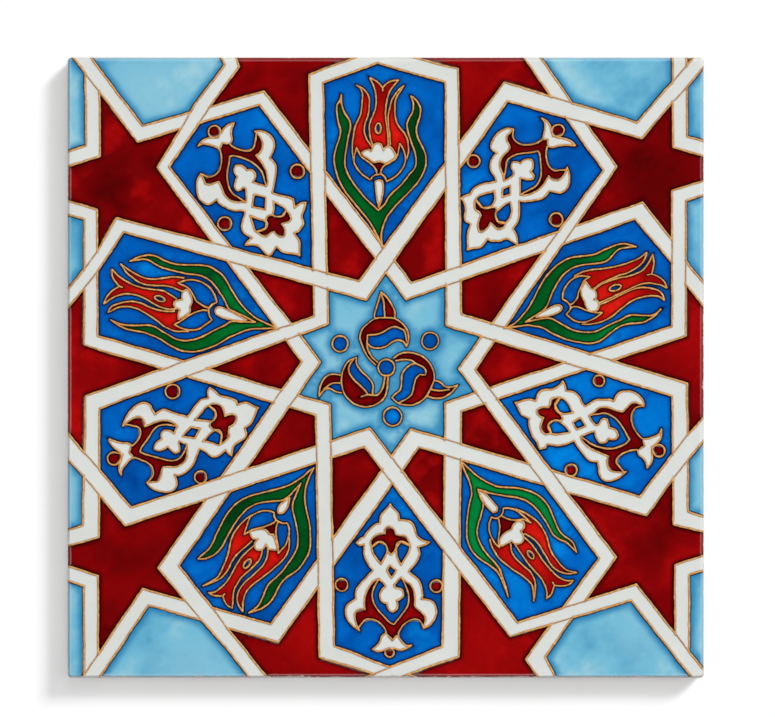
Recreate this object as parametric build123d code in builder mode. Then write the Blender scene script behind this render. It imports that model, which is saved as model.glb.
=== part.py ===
"""Glazed wall tile with a ten-fold strapwork rosette, one fired piece, millimetres.

The bed face lies on XY with its middle at the origin and the glazed face looks up.
+Y is the top of the pattern. Raised lines hold the glazes apart on the real tile:
each strap is drawn by two of them, and the straps pass over and under each other.
"""
import os
from math import cos, radians, sin, sqrt, tan

from build123d import *

# Blank
face_width = 200.0
face_height = 195.0
thickness = 8.0  # bed face to the crest of the raised lines
corner_radius = 1.2
arris_radius = 1.2  # eased edge round the glazed face

# Raised lines
line_width = 0.8
line_height = 0.35
strap_width = 5.0  # over both lines of a strap

# Rosette, measured to the middles of the straps
star_radius = 19.75  # from its centre to the nearest point of each strap round the star
rosette_radius = 97.4  # from its centre to the point of each petal
rosette_x = 0.6
rosette_y = 0.8
rosette_turn = 0.7  # degrees, laid out by hand and not quite square to the edges

# Keyed bed face
key_count = 6  # recesses along each side
key_pitch = 29.0
key_size = 23.0
key_corner = 3.0
key_depth = 0.8

# Angles of the ten-fold pattern
petals = 10
step = 360 / petals
arm_angle = 1.5 * step  # a strap leaves its bend at the star this far from the bend's axis
turn_angle = 2 * step  # every bend of a strap


def cosd(angle):
    return cos(radians(angle))


def sind(angle):
    return sin(radians(angle))


def tand(angle):
    return tan(radians(angle))


# Lengths that the rosette follows from
golden = (1 + sqrt(5)) / 2
half = step / 2
roof_radius = rosette_radius * cosd(half)  # nearest point of the straps that close the petals
corner_reach = (roof_radius - star_radius * sind(half)) / cosd(half)
point_edge = 2 * roof_radius * tand(half) / golden**2  # one side of a five-pointed star's point
point_reach = roof_radius * tand(half) / sind(turn_angle)  # five-pointed star, middle to point
bend_radius = star_radius / cosd(step)  # bends round the star in the middle
arm_length = corner_reach - star_radius * tand(step)
roof_length = star_radius / cosd(half) + point_edge
outer_bend_radius = roof_radius + point_reach * cosd(turn_angle) * (1 + 1 / cosd(step))
run_out = face_width + face_height  # straps run on past the edge
crossing_length = strap_width * (1 + cosd(step)) / sind(step)

# One strap of each kind, its axis along +X: a bend at the star, an arm along a petal each way,
# the roof over that petal, and out to the edge
with BuildLine() as strap_path:
    arm = PolarLine((bend_radius, 0), arm_length, arm_angle)
    roof = PolarLine(arm @ 1, roof_length, arm_angle + turn_angle)
    out = PolarLine(roof @ 1, run_out, arm_angle)
    mirror(about=Plane.XZ)

with BuildLine() as outer_path:
    PolarLine((outer_bend_radius, 0), run_out, arm_angle)
    mirror(about=Plane.XZ)


# Places where a strap passes over another: two on one arm and two on the other, so that it
# goes over and under by turns
def spot(path, distance, angle, side):
    place = path @ (distance / path.length)
    return Location((place.X, side * place.Y, 0), side * angle)


over_spots = [
    spot(arm, star_radius * (tand(arm_angle) - tand(step)), arm_angle, 1),
    spot(roof, star_radius / cosd(half), arm_angle + turn_angle, 1),
    spot(arm, star_radius * (tand(turn_angle) - tand(step)), arm_angle, -1),
    spot(out, point_edge, arm_angle, -1),
]


def rosette(pattern):
    """The ten turns of a sketch, about the rosette's own centre."""
    with BuildSketch() as turns:
        with Locations(Location((rosette_x, rosette_y, 0), rosette_turn)):
            with PolarLocations(0, petals):
                add(pattern)
    return turns.sketch


def bands(width):
    """Every strap, as wide as this."""
    with BuildSketch() as one:
        trace(strap_path.line, width)
        trace(outer_path.line, width)
    return rosette(one.sketch)


def crossings(width):
    """The stretch of each upper strap that lies over a lower one."""
    with BuildSketch() as one:
        with Locations(*over_spots):
            Rectangle(crossing_length, width)
    return rosette(one.sketch)


channel_width = strap_width - 2 * line_width

with BuildSketch() as over_lines:
    add(crossings(strap_width))
    add(crossings(channel_width), mode=Mode.SUBTRACT)

with BuildSketch() as lines:
    add(bands(strap_width))
    add(bands(channel_width), mode=Mode.SUBTRACT)
    add(crossings(strap_width), mode=Mode.SUBTRACT)
    add(over_lines.sketch)


def slab(height):
    """A blank of this height, with its upper edges eased."""
    with BuildPart() as body:
        with BuildSketch():
            RectangleRounded(face_width, face_height, corner_radius)
        extrude(amount=height)
        fillet(body.faces().sort_by(Axis.Z)[-1].edges(), arris_radius)
    return body.part


glaze_level = thickness - line_height

# The lines stand on the glaze and follow the eased edges down
with BuildPart() as raised_lines:
    with BuildSketch(Plane.XY.offset(glaze_level - arris_radius)):
        add(lines.sketch)
    extrude(amount=line_height + arris_radius)
    add(slab(thickness), mode=Mode.INTERSECT)

with BuildPart() as tile:
    add(slab(glaze_level))
    add(raised_lines.part)
    with BuildSketch():
        with GridLocations(key_pitch, key_pitch, key_count, key_count):
            RectangleRounded(key_size, key_size, key_corner)
    extrude(amount=key_depth, mode=Mode.SUBTRACT)

tile.part.label = "tile"
os.makedirs("parts", exist_ok=True)
export_step(tile.part, "parts/tile.step")
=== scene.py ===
# %% [markdown]
# # A glazed wall tile with a ten-fold strapwork rosette
# The real tile is a pressed ceramic blank. A painter pipes raised lines on it, floods the cells
# between them with coloured glazes, and fires it once. This lesson rebuilds it the same way: first the
# drawing, then one flat map of lines and cells, then a closed piece for each glaze on the blank.
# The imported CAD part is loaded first, because it fixes the size, the place and the body.

# %% Load the CAD frame
import math
import random

import bmesh
import bpy
import numpy as np
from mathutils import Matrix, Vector, kdtree, noise
from mathutils.geometry import delaunay_2d_cdt


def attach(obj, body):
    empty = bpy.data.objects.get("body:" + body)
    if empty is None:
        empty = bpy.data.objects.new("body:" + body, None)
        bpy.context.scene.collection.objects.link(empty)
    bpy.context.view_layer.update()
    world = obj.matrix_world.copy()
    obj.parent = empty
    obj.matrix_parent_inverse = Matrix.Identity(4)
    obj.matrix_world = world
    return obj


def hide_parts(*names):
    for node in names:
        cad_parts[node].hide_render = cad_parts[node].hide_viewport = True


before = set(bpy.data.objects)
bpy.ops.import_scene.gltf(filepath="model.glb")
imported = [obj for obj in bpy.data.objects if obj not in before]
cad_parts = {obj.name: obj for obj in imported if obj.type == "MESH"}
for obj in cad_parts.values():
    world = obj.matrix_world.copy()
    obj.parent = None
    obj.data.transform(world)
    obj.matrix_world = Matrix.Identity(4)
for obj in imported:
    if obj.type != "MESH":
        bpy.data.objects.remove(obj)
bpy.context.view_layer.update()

print("CAD nodes:", sorted(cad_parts))

# %% [markdown]
# ## Sizes and the way from the photograph to the tile
# All drawing is done in millimetres on the face of the tile, with the middle at zero, and turned into
# metres only when a mesh is made. The lines of the drawing were followed on the photograph, so
# their points are written in its pixels and `on_tile` turns them into millimetres.

# %% Sizes
mm = 0.001
face_width = 200.0
face_height = 195.0
thickness = 8.0
corner_radius = 1.2
arris_radius = 1.2
blank_height = 6.2
strap_width = 5.0
line_width = 0.62
motif_line_width = 0.55
thin_line_width = 0.4
photo_px_per_mm = 3.185
photo_tile_middle = np.array((385.7, 367.6))
photo_rosette_middle = np.array((387.7, 364.8))


def on_tile(points):
    """Pixels of the photograph as millimetres on the face, with Y up."""
    away = (np.asarray(points, float).reshape(-1, 2) - photo_tile_middle) / photo_px_per_mm
    return away * (1, -1)


rosette_middle = on_tile(photo_rosette_middle)[0]
print("rosette middle, mm:", rosette_middle.round(2))


# %% [markdown]
# ## Lines
# A piped line is smooth, but it turns sharply at tips and notches. So a followed outline is cut where it
# turns by more than a set angle, and a smooth curve goes through the points of each run.
# Every line is kept as samples with a half width, and each closed outline also as a fill for its glaze.

# %% Smooth runs and the lists of the drawing
corner_turn = 50.0
sample_step = 0.6
span_samples = 8
strokes = []
fills = []


def evenly(path, step):
    """The same path with samples at even steps."""
    lengths = np.hypot(*np.diff(path, axis=0).T)
    along = np.concatenate(([0.0], np.cumsum(lengths)))
    count = max(2, int(round(along[-1] / step)) + 1)
    spots = np.linspace(0.0, along[-1], count)
    return np.column_stack([np.interp(spots, along, path[:, axis]) for axis in (0, 1)])


def turn_at(before, here, after):
    """Degrees by which a path turns at a point."""
    one = here - before
    two = after - here
    return abs(math.degrees(math.atan2(one[0] * two[1] - one[1] * two[0], float(one @ two))))


def smooth_run(points):
    """A smooth curve through the points of one run."""
    ends = np.vstack([2 * points[0] - points[1], points, 2 * points[-1] - points[-2]])
    share = np.linspace(0.0, 1.0, span_samples, endpoint=False)[:, None]
    spans = []
    for a, b, c, d in zip(ends[:-3], ends[1:-2], ends[2:-1], ends[3:]):
        bend = (2 * a - 5 * b + 4 * c - d) * share**2 + (3 * b - a - 3 * c + d) * share**3
        spans.append(0.5 * (2 * b + (c - a) * share + bend))
    spans.append(points[-1:])
    return evenly(np.vstack(spans), sample_step)


def runs_of(points, closed=False):
    """A followed line as smooth runs, cut at its corners."""
    path = np.asarray(points, float)
    count = len(path)
    inner = range(count) if closed else range(1, count - 1)
    corners = [i for i in inner if turn_at(path[i - 1], path[i], path[(i + 1) % count]) > corner_turn]
    if closed:
        first = corners[0] if corners else 0
        path = np.vstack([np.roll(path, -first, axis=0), np.roll(path, -first, axis=0)[:1]])
        cuts = [0] + [c - first for c in corners[1:]] + [count]
        if not corners:
            ring = np.vstack([path[-3:-1], path, path[1:3]])
            whole = smooth_run(ring)
            start = int(np.argmin(np.hypot(*(whole[: len(whole) // 4] - path[0]).T)))
            half = len(whole) // 2
            stop = half + int(np.argmin(np.hypot(*(whole[half:] - path[0]).T)))
            return [np.vstack([whole[start:stop], whole[start : start + 1]])]
    else:
        cuts = [0] + corners + [count - 1]
    return [smooth_run(path[a : b + 1]) for a, b in zip(cuts, cuts[1:]) if b > a]


def draw(points, closed=False, width=motif_line_width):
    """Pipes a line along these points and returns its whole path."""
    runs = runs_of(points, closed)
    for run in runs:
        strokes.append((run, np.full(len(run), width / 2)))
    return np.vstack(runs)


def flood(glaze, outline):
    """Floods the inside of an outline with a glaze, over what is there already."""
    fills.append((glaze, np.asarray(outline, float)))


def cell(glaze, points, ringed=True):
    """Floods a followed outline, and pipes a line round it where it is ringed."""
    flood(glaze, draw(points, closed=True) if ringed else np.vstack(runs_of(points, True)))


print("corners are sharp past", corner_turn, "degrees")

# %% [markdown]
# ## Strapwork
# Ten straps run round the star in the middle. Each bends at the star, runs along a petal on both sides,
# turns over that petal and leaves for the edge. They were laid out by hand and are never quite equally
# wide, so each corner is written twice: where its line on the side of the petal or the star turns, and where
# the line on the far side does. The ways out to the edge are written in the same pairs, or as one spot midway
# between the lines where the strap keeps its usual width. Four short straps close the corner stars.
# Straps and petals go by their angle in degrees, anticlockwise from the right.

# %% Corners of the straps
petal_turn = 36
half_turn = petal_turn // 2
roof_turn = petal_turn + half_turn
left_corner = {
    90: ((323.0, 82.6), (308.9, 74.3)), 126: ((169.0, 167.1), (157.0, 167.7)),
    162: ((97.8, 335.8), (84.1, 345.1)), 198: ((130.7, 507.6), (124.7, 525.8)),
    234: ((270.8, 624.4), (278.0, 642.3)), 270: ((442.4, 646.6), (459.2, 656.8)),
    306: ((599.2, 557.8), (616.0, 557.0)), 342: ((672.2, 396.0), (687.4, 383.9)),
    18: ((635.0, 219.2), (642.6, 202.4)), 54: ((507.7, 101.2), (504.1, 82.0)),
}
right_corner = {
    90: ((445.3, 82.4), (458.4, 68.7)), 126: ((259.6, 104.7), (264.0, 91.4)),
    162: ((123.9, 231.9), (116.1, 217.9)), 198: ((99.5, 408.4), (85.6, 395.9)),
    234: ((178.6, 565.9), (157.7, 567.8)), 270: ((334.2, 646.0), (319.0, 657.4)),
    306: ((517.6, 622.7), (509.8, 636.4)), 342: ((640.1, 496.6), (646.8, 515.6)),
    18: ((672.2, 326.2), (686.1, 335.8)), 54: ((603.2, 170.3), (616.7, 167.1)),
}
star_bend = {
    0: ((458.4, 369.0), (475.2, 369.6)), 36: ((446.2, 325.6), (461.0, 313.9)),
    72: ((406.0, 299.4), (411.2, 282.9)), 108: ((366.0, 300.0), (359.1, 281.0)),
    144: ((328.3, 324.0), (314.0, 316.1)), 180: ((320.6, 361.9), (301.9, 361.7)),
    216: ((330.3, 404.8), (315.8, 415.2)), 252: ((369.6, 428.4), (364.4, 447.0)),
    288: ((411.0, 429.4), (418.8, 447.3)), 324: ((445.2, 403.1), (461.0, 411.3)),
}
way_out_right = {
    0: [(522.0, 43.0)],
    36: [((362.0, 58.7), (370.0, 47.1))],
    72: [(139.9, 133.9), (65.0, 35.0)],
    108: [((96.7, 272.6), (97.3, 251.2)), ((81.8, 291.0), (85.4, 267.3)), ((55.0, 324.0), (55.0, 305.4))],
    144: [((98.9, 537.0), (82.6, 525.3)), (45.0, 545.0)],
    180: [
        ((223.1, 622.2), (205.0, 624.8)), ((239.8, 643.5), (225.0, 646.5)), ((282.5, 697.0), (264.0, 697.0)),
    ],
    216: [((425.0, 680.8), (421.0, 688.0))],
    252: [(633.7, 592.4), (713.7, 694.0)],
    288: [
        ((672.8, 453.6), (671.6, 480.4)), ((690.6, 431.6), (687.0, 461.3)), ((720.0, 400.0), (720.0, 420.5)),
    ],
    324: [(679.0, 195.9), (725.0, 181.0)],
}
way_out_left = {
    0: [((525.4, 659.3), (544.9, 657.5)), ((548.1, 690.0), (562.5, 690.0))],
    36: [((673.4, 524.5), (688.0, 511.5)), ((720.0, 535.6), (720.0, 522.5))],
    72: [
        ((671.8, 262.7), (671.8, 239.5)), ((687.3, 285.9), (689.7, 266.3)), ((720.0, 325.4), (720.0, 301.5)),
    ],
    108: [(639.2, 130.5), (720.8, 37.0)],
    144: [((402.0, 54.3), (395.0, 42.7))],
    180: [((211.8, 103.9), (195.6, 103.9)), ((239.0, 66.5), (225.0, 64.3)), ((229.7, 37.0), (209.8, 37.0))],
    216: [((97.0, 209.5), (84.2, 219.3)), (45.0, 200.5)],
    252: [((98.1, 468.0), (99.9, 495.3)), ((81.5, 449.6), (82.1, 474.5)), ((50.0, 411.5), (50.0, 440.0))],
    288: [(145.6, 597.0), (76.0, 699.0)],
    324: [((352.0, 682.2), (356.5, 691.6))],
}
corner_straps = [
    [(679.3, 35.0), (680.2, 142.0), (725.0, 154.5)],
    [(92.0, 69.5), (93.0, 151.1), (45.0, 166.0)],
    [(91.0, 705.0), (91.0, 581.0), (45.0, 566.0)],
    [(682.0, 655.0), (682.0, 570.0), (725.0, 556.0)],
]


def strap_rows(axis):
    """Every place where a strap turns or ends, in the order in which it runs."""
    left = left_corner[(axis - roof_turn) % 360]
    right = right_corner[(axis + roof_turn) % 360]
    return way_out_left[axis][::-1] + [left, star_bend[axis], right] + way_out_right[axis]


def middle_of(row):
    """Halfway between the two lines of a strap, or a single spot as it is, in pixels."""
    return tuple(np.mean(np.reshape(row, (-1, 2)), axis=0))


straps = {axis: on_tile([middle_of(row) for row in strap_rows(axis)]) for axis in star_bend}
for index, path in enumerate(corner_straps):
    straps[-1 - index] = on_tile(path)
print(len(straps), "straps")

# %% [markdown]
# ## Over and under
# Where two straps cross, the lines of the lower one stop. The painter didn't keep a strict order, so the
# upper strap of each kind of crossing is written down from the photograph: at the tips of the star, where
# the kites end, at the points of the petals, and in the corners. At the point of the upright petal the
# white runs on without any line.

# %% Crossings
ccw_over_at_star = {18, 54, 90, 342}
ccw_over_at_kite = {0, 108, 216, 324}
right_over_at_point = {18, 162, 234, 306, 342}
unmarked_point = 90
past_edge = 6.0


def cross_spot(a, b, c, d):
    """Where two stretches cross, or None."""
    one = b - a
    two = d - c
    area = one[0] * two[1] - one[1] * two[0]
    if abs(area) < 1e-9:
        return None
    gap = c - a
    s = (gap[0] * two[1] - gap[1] * two[0]) / area
    t = (gap[0] * one[1] - gap[1] * one[0]) / area
    return a + s * one if 0 <= s <= 1 and 0 <= t <= 1 else None


def upper_strap(first, second):
    """Which of two crossing straps lies on top."""
    if first < 0 or second < 0:
        return max(first, second)
    turn = (second - first) % 360
    low, high, gap = (first, second, turn) if turn <= 180 else (second, first, 360 - turn)
    between = (low + gap // 2) % 360
    if gap == petal_turn:
        return high if between in ccw_over_at_star else low
    if gap == 2 * petal_turn:
        return high if between in ccw_over_at_kite else low
    return low if between in right_over_at_point else high


crossings = {}
names = sorted(straps)
for i, first in enumerate(names):
    for second in names[i + 1 :]:
        for a, b in zip(straps[first], straps[first][1:]):
            for c, d in zip(straps[second], straps[second][1:]):
                spot = cross_spot(a, b, c, d)
                if spot is not None and max(abs(spot)) < face_width / 2 + past_edge:
                    crossings.setdefault((first, second), []).append(spot)
print(sum(len(v) for v in crossings.values()), "crossings")


def crossing(first, second):
    """The first crossing of two straps."""
    return crossings[tuple(sorted((first % 360, second % 360)))][0]


# %% [markdown]
# ## The lines of the straps
# Each strap has a line along both sides. A line is left out where another strap covers it, and it is thin
# where the strap lies on another one, because there white meets white and the line is only a mark.

# %% Offset lines
strap_step = 0.45
crossing_reach = 3 * strap_width
edge_margin = 1.5
fewest_samples = 3


def beside(path, off):
    """A path at a set distance to the left of another one, with mitred corners."""
    ways = np.diff(path, axis=0)
    ways /= np.hypot(*ways.T)[:, None]
    sides = np.column_stack([-ways[:, 1], ways[:, 0]])
    out = [path[0] + off * sides[0]]
    for spot, a, b in zip(path[1:-1], sides, sides[1:]):
        middle = a + b
        out.append(spot + off * middle * 2 / (middle @ middle))
    out.append(path[-1] + off * sides[-1])
    return np.array(out)


def inside(points, outline):
    """Which points lie in a closed outline."""
    found = np.zeros(len(points), bool)
    x, y = points.T
    for (x1, y1), (x2, y2) in zip(outline, np.roll(outline, -1, axis=0)):
        if y1 != y2:
            spans = (y1 > y) != (y2 > y)
            found ^= spans & (x < (x2 - x1) * (y - y1) / (y2 - y1) + x1)
    return found


def sampled(path, step):
    """A path of straight stretches, sampled with its corners kept."""
    parts = [evenly(np.array(pair), step)[:-1] for pair in zip(path, path[1:])]
    return np.vstack(parts + [path[-1:]])


side_off = (strap_width - line_width) / 2
strap_sides = {}
for name, path in straps.items():
    sides = [beside(path, side_off), beside(path, -side_off)]
    for number, row in enumerate(strap_rows(name) if name >= 0 else []):
        if np.ndim(row) == 2:
            sides[0][number], sides[1][number] = on_tile(row)
    strap_sides[name] = sides


def ribbon(name):
    """The outline of a strap between its two lines."""
    return np.vstack([strap_sides[name][0], strap_sides[name][1][::-1]])


unmarked = {(unmarked_point - roof_turn) % 360, (unmarked_point + roof_turn) % 360}
face_reach = (face_width / 2 + edge_margin, face_height / 2 + edge_margin)
for name in straps:
    for side in strap_sides[name]:
        line = sampled(side, strap_step)
        shown = np.ones(len(line), bool)
        widths = np.full(len(line), line_width / 2)
        for pair, spots in crossings.items():
            if name not in pair:
                continue
            other = pair[0] if pair[1] == name else pair[1]
            near = np.min([np.hypot(*(line - s).T) for s in spots], axis=0) < crossing_reach
            shared = near & inside(line, ribbon(other))
            if set(pair) != unmarked and upper_strap(*pair) == name:
                widths[shared] = thin_line_width / 2
            else:
                shown &= ~shared
        grown = shown | np.roll(shown, 1) | np.roll(shown, -1)
        on_face = np.all(np.abs(line) < face_reach, axis=1)
        edges = np.flatnonzero(np.diff(np.concatenate(([0], (grown & on_face).astype(int), [0]))))
        for start, stop in zip(edges[::2], edges[1::2]):
            if stop - start > fewest_samples:
                strokes.append((line[start:stop], widths[start:stop]))
strap_strokes = len(strokes)
print(strap_strokes, "strap lines")

# %% [markdown]
# ## Ground colours
# The cells are flooded from back to front: the whole face dark red, then the petals blue, then the star in
# the middle and the outer corners turquoise, and the straps white on top.

# %% Flood the cells
big = face_width
flood("ruby", [(-big, -big), (big, -big), (big, big), (-big, big)])
axes = range(0, 360, petal_turn)
petals = range(half_turn, 360, petal_turn)
star_tip = {petal: crossing(petal + half_turn, petal - half_turn) for petal in petals}
kite_tip = {axis: crossing(axis + petal_turn, axis - petal_turn) for axis in axes}
for petal in petals:
    left = on_tile(middle_of(left_corner[petal]))[0]
    right = on_tile(middle_of(right_corner[petal]))[0]
    point = crossing(petal + roof_turn, petal - roof_turn)
    outline = [star_tip[petal], kite_tip[(petal + half_turn) % 360], left, point, right]
    flood("cobalt", outline + [kite_tip[(petal - half_turn) % 360]])
    ways = way_out_left[(petal + roof_turn) % 360] + way_out_right[(petal - roof_turn) % 360][::-1]
    flood("turquoise", [point, *on_tile([middle_of(row) for row in ways])])
star_ring = []
for axis in axes:
    star_ring += [on_tile(middle_of(star_bend[axis]))[0], star_tip[axis + half_turn]]
flood("turquoise", star_ring)
for path in corner_straps:
    beyond = on_tile(path)
    flood("turquoise", [*beyond, np.sign(beyond[1]) * big])
for name in straps:
    flood("white", ribbon(name))
print(len(fills), "floods of the ground")

# %% [markdown]
# ## Motifs
# A tulip fills every other petal and a palmette the ones between. The tulips were drawn by the same hand but
# never alike, so each is followed on its own. Of the palmettes one is followed line by line, and its drawing
# is treated as a thin elastic sheet: it is pinned at key points, and each petal pulls these to where its own
# palmette has them.

# %% Pull a motif into its petal
give = 8.0
ring_points = 12
upright = 90
hanging = 270


def spread(apart):
    """How strongly a pin bends the sheet at some distance."""
    far = np.maximum(apart, 1e-6)
    return far**2 * np.log(far)


def pulled(points, rows, petal):
    """Points of a drawing after its pins are pulled to where a petal has them."""
    points = np.asarray(points, float)
    pins = np.array([row[0] for row in rows.values()])
    targets = np.array([row[petal] for row in rows.values()])
    middle = pins.mean(0)
    home = pins - middle
    count = len(pins)
    between = spread(np.hypot(*(home[:, None] - home[None]).T)) + give * np.eye(count)
    flat = np.column_stack([np.ones(count), home])
    system = np.block([[between, flat], [flat.T, np.zeros((3, 3))]])
    pulls = np.linalg.solve(system, np.vstack([targets, np.zeros((3, 2))]))
    away = points - middle
    reach = spread(np.hypot(*(away[:, None] - home[None]).T).T)
    return reach @ pulls[:count] + np.column_stack([np.ones(len(points)), away]) @ pulls[count:]


def seat(points, turn):
    """Followed points on the tile, turned about the rosette's middle."""
    angle = math.radians(turn)
    about = np.array(((math.cos(angle), -math.sin(angle)), (math.sin(angle), math.cos(angle))))
    return (on_tile(points) - rosette_middle) @ about.T + rosette_middle


def ring(middle, reach, tall=None):
    """Points round a ring or an oval, in pixels."""
    turns = np.linspace(0, 2 * math.pi, ring_points, endpoint=False)
    rise = reach if tall is None else tall
    return [(middle[0] + reach * math.cos(t), middle[1] + rise * math.sin(t)) for t in turns]


print("the sheet gives", give)

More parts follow.
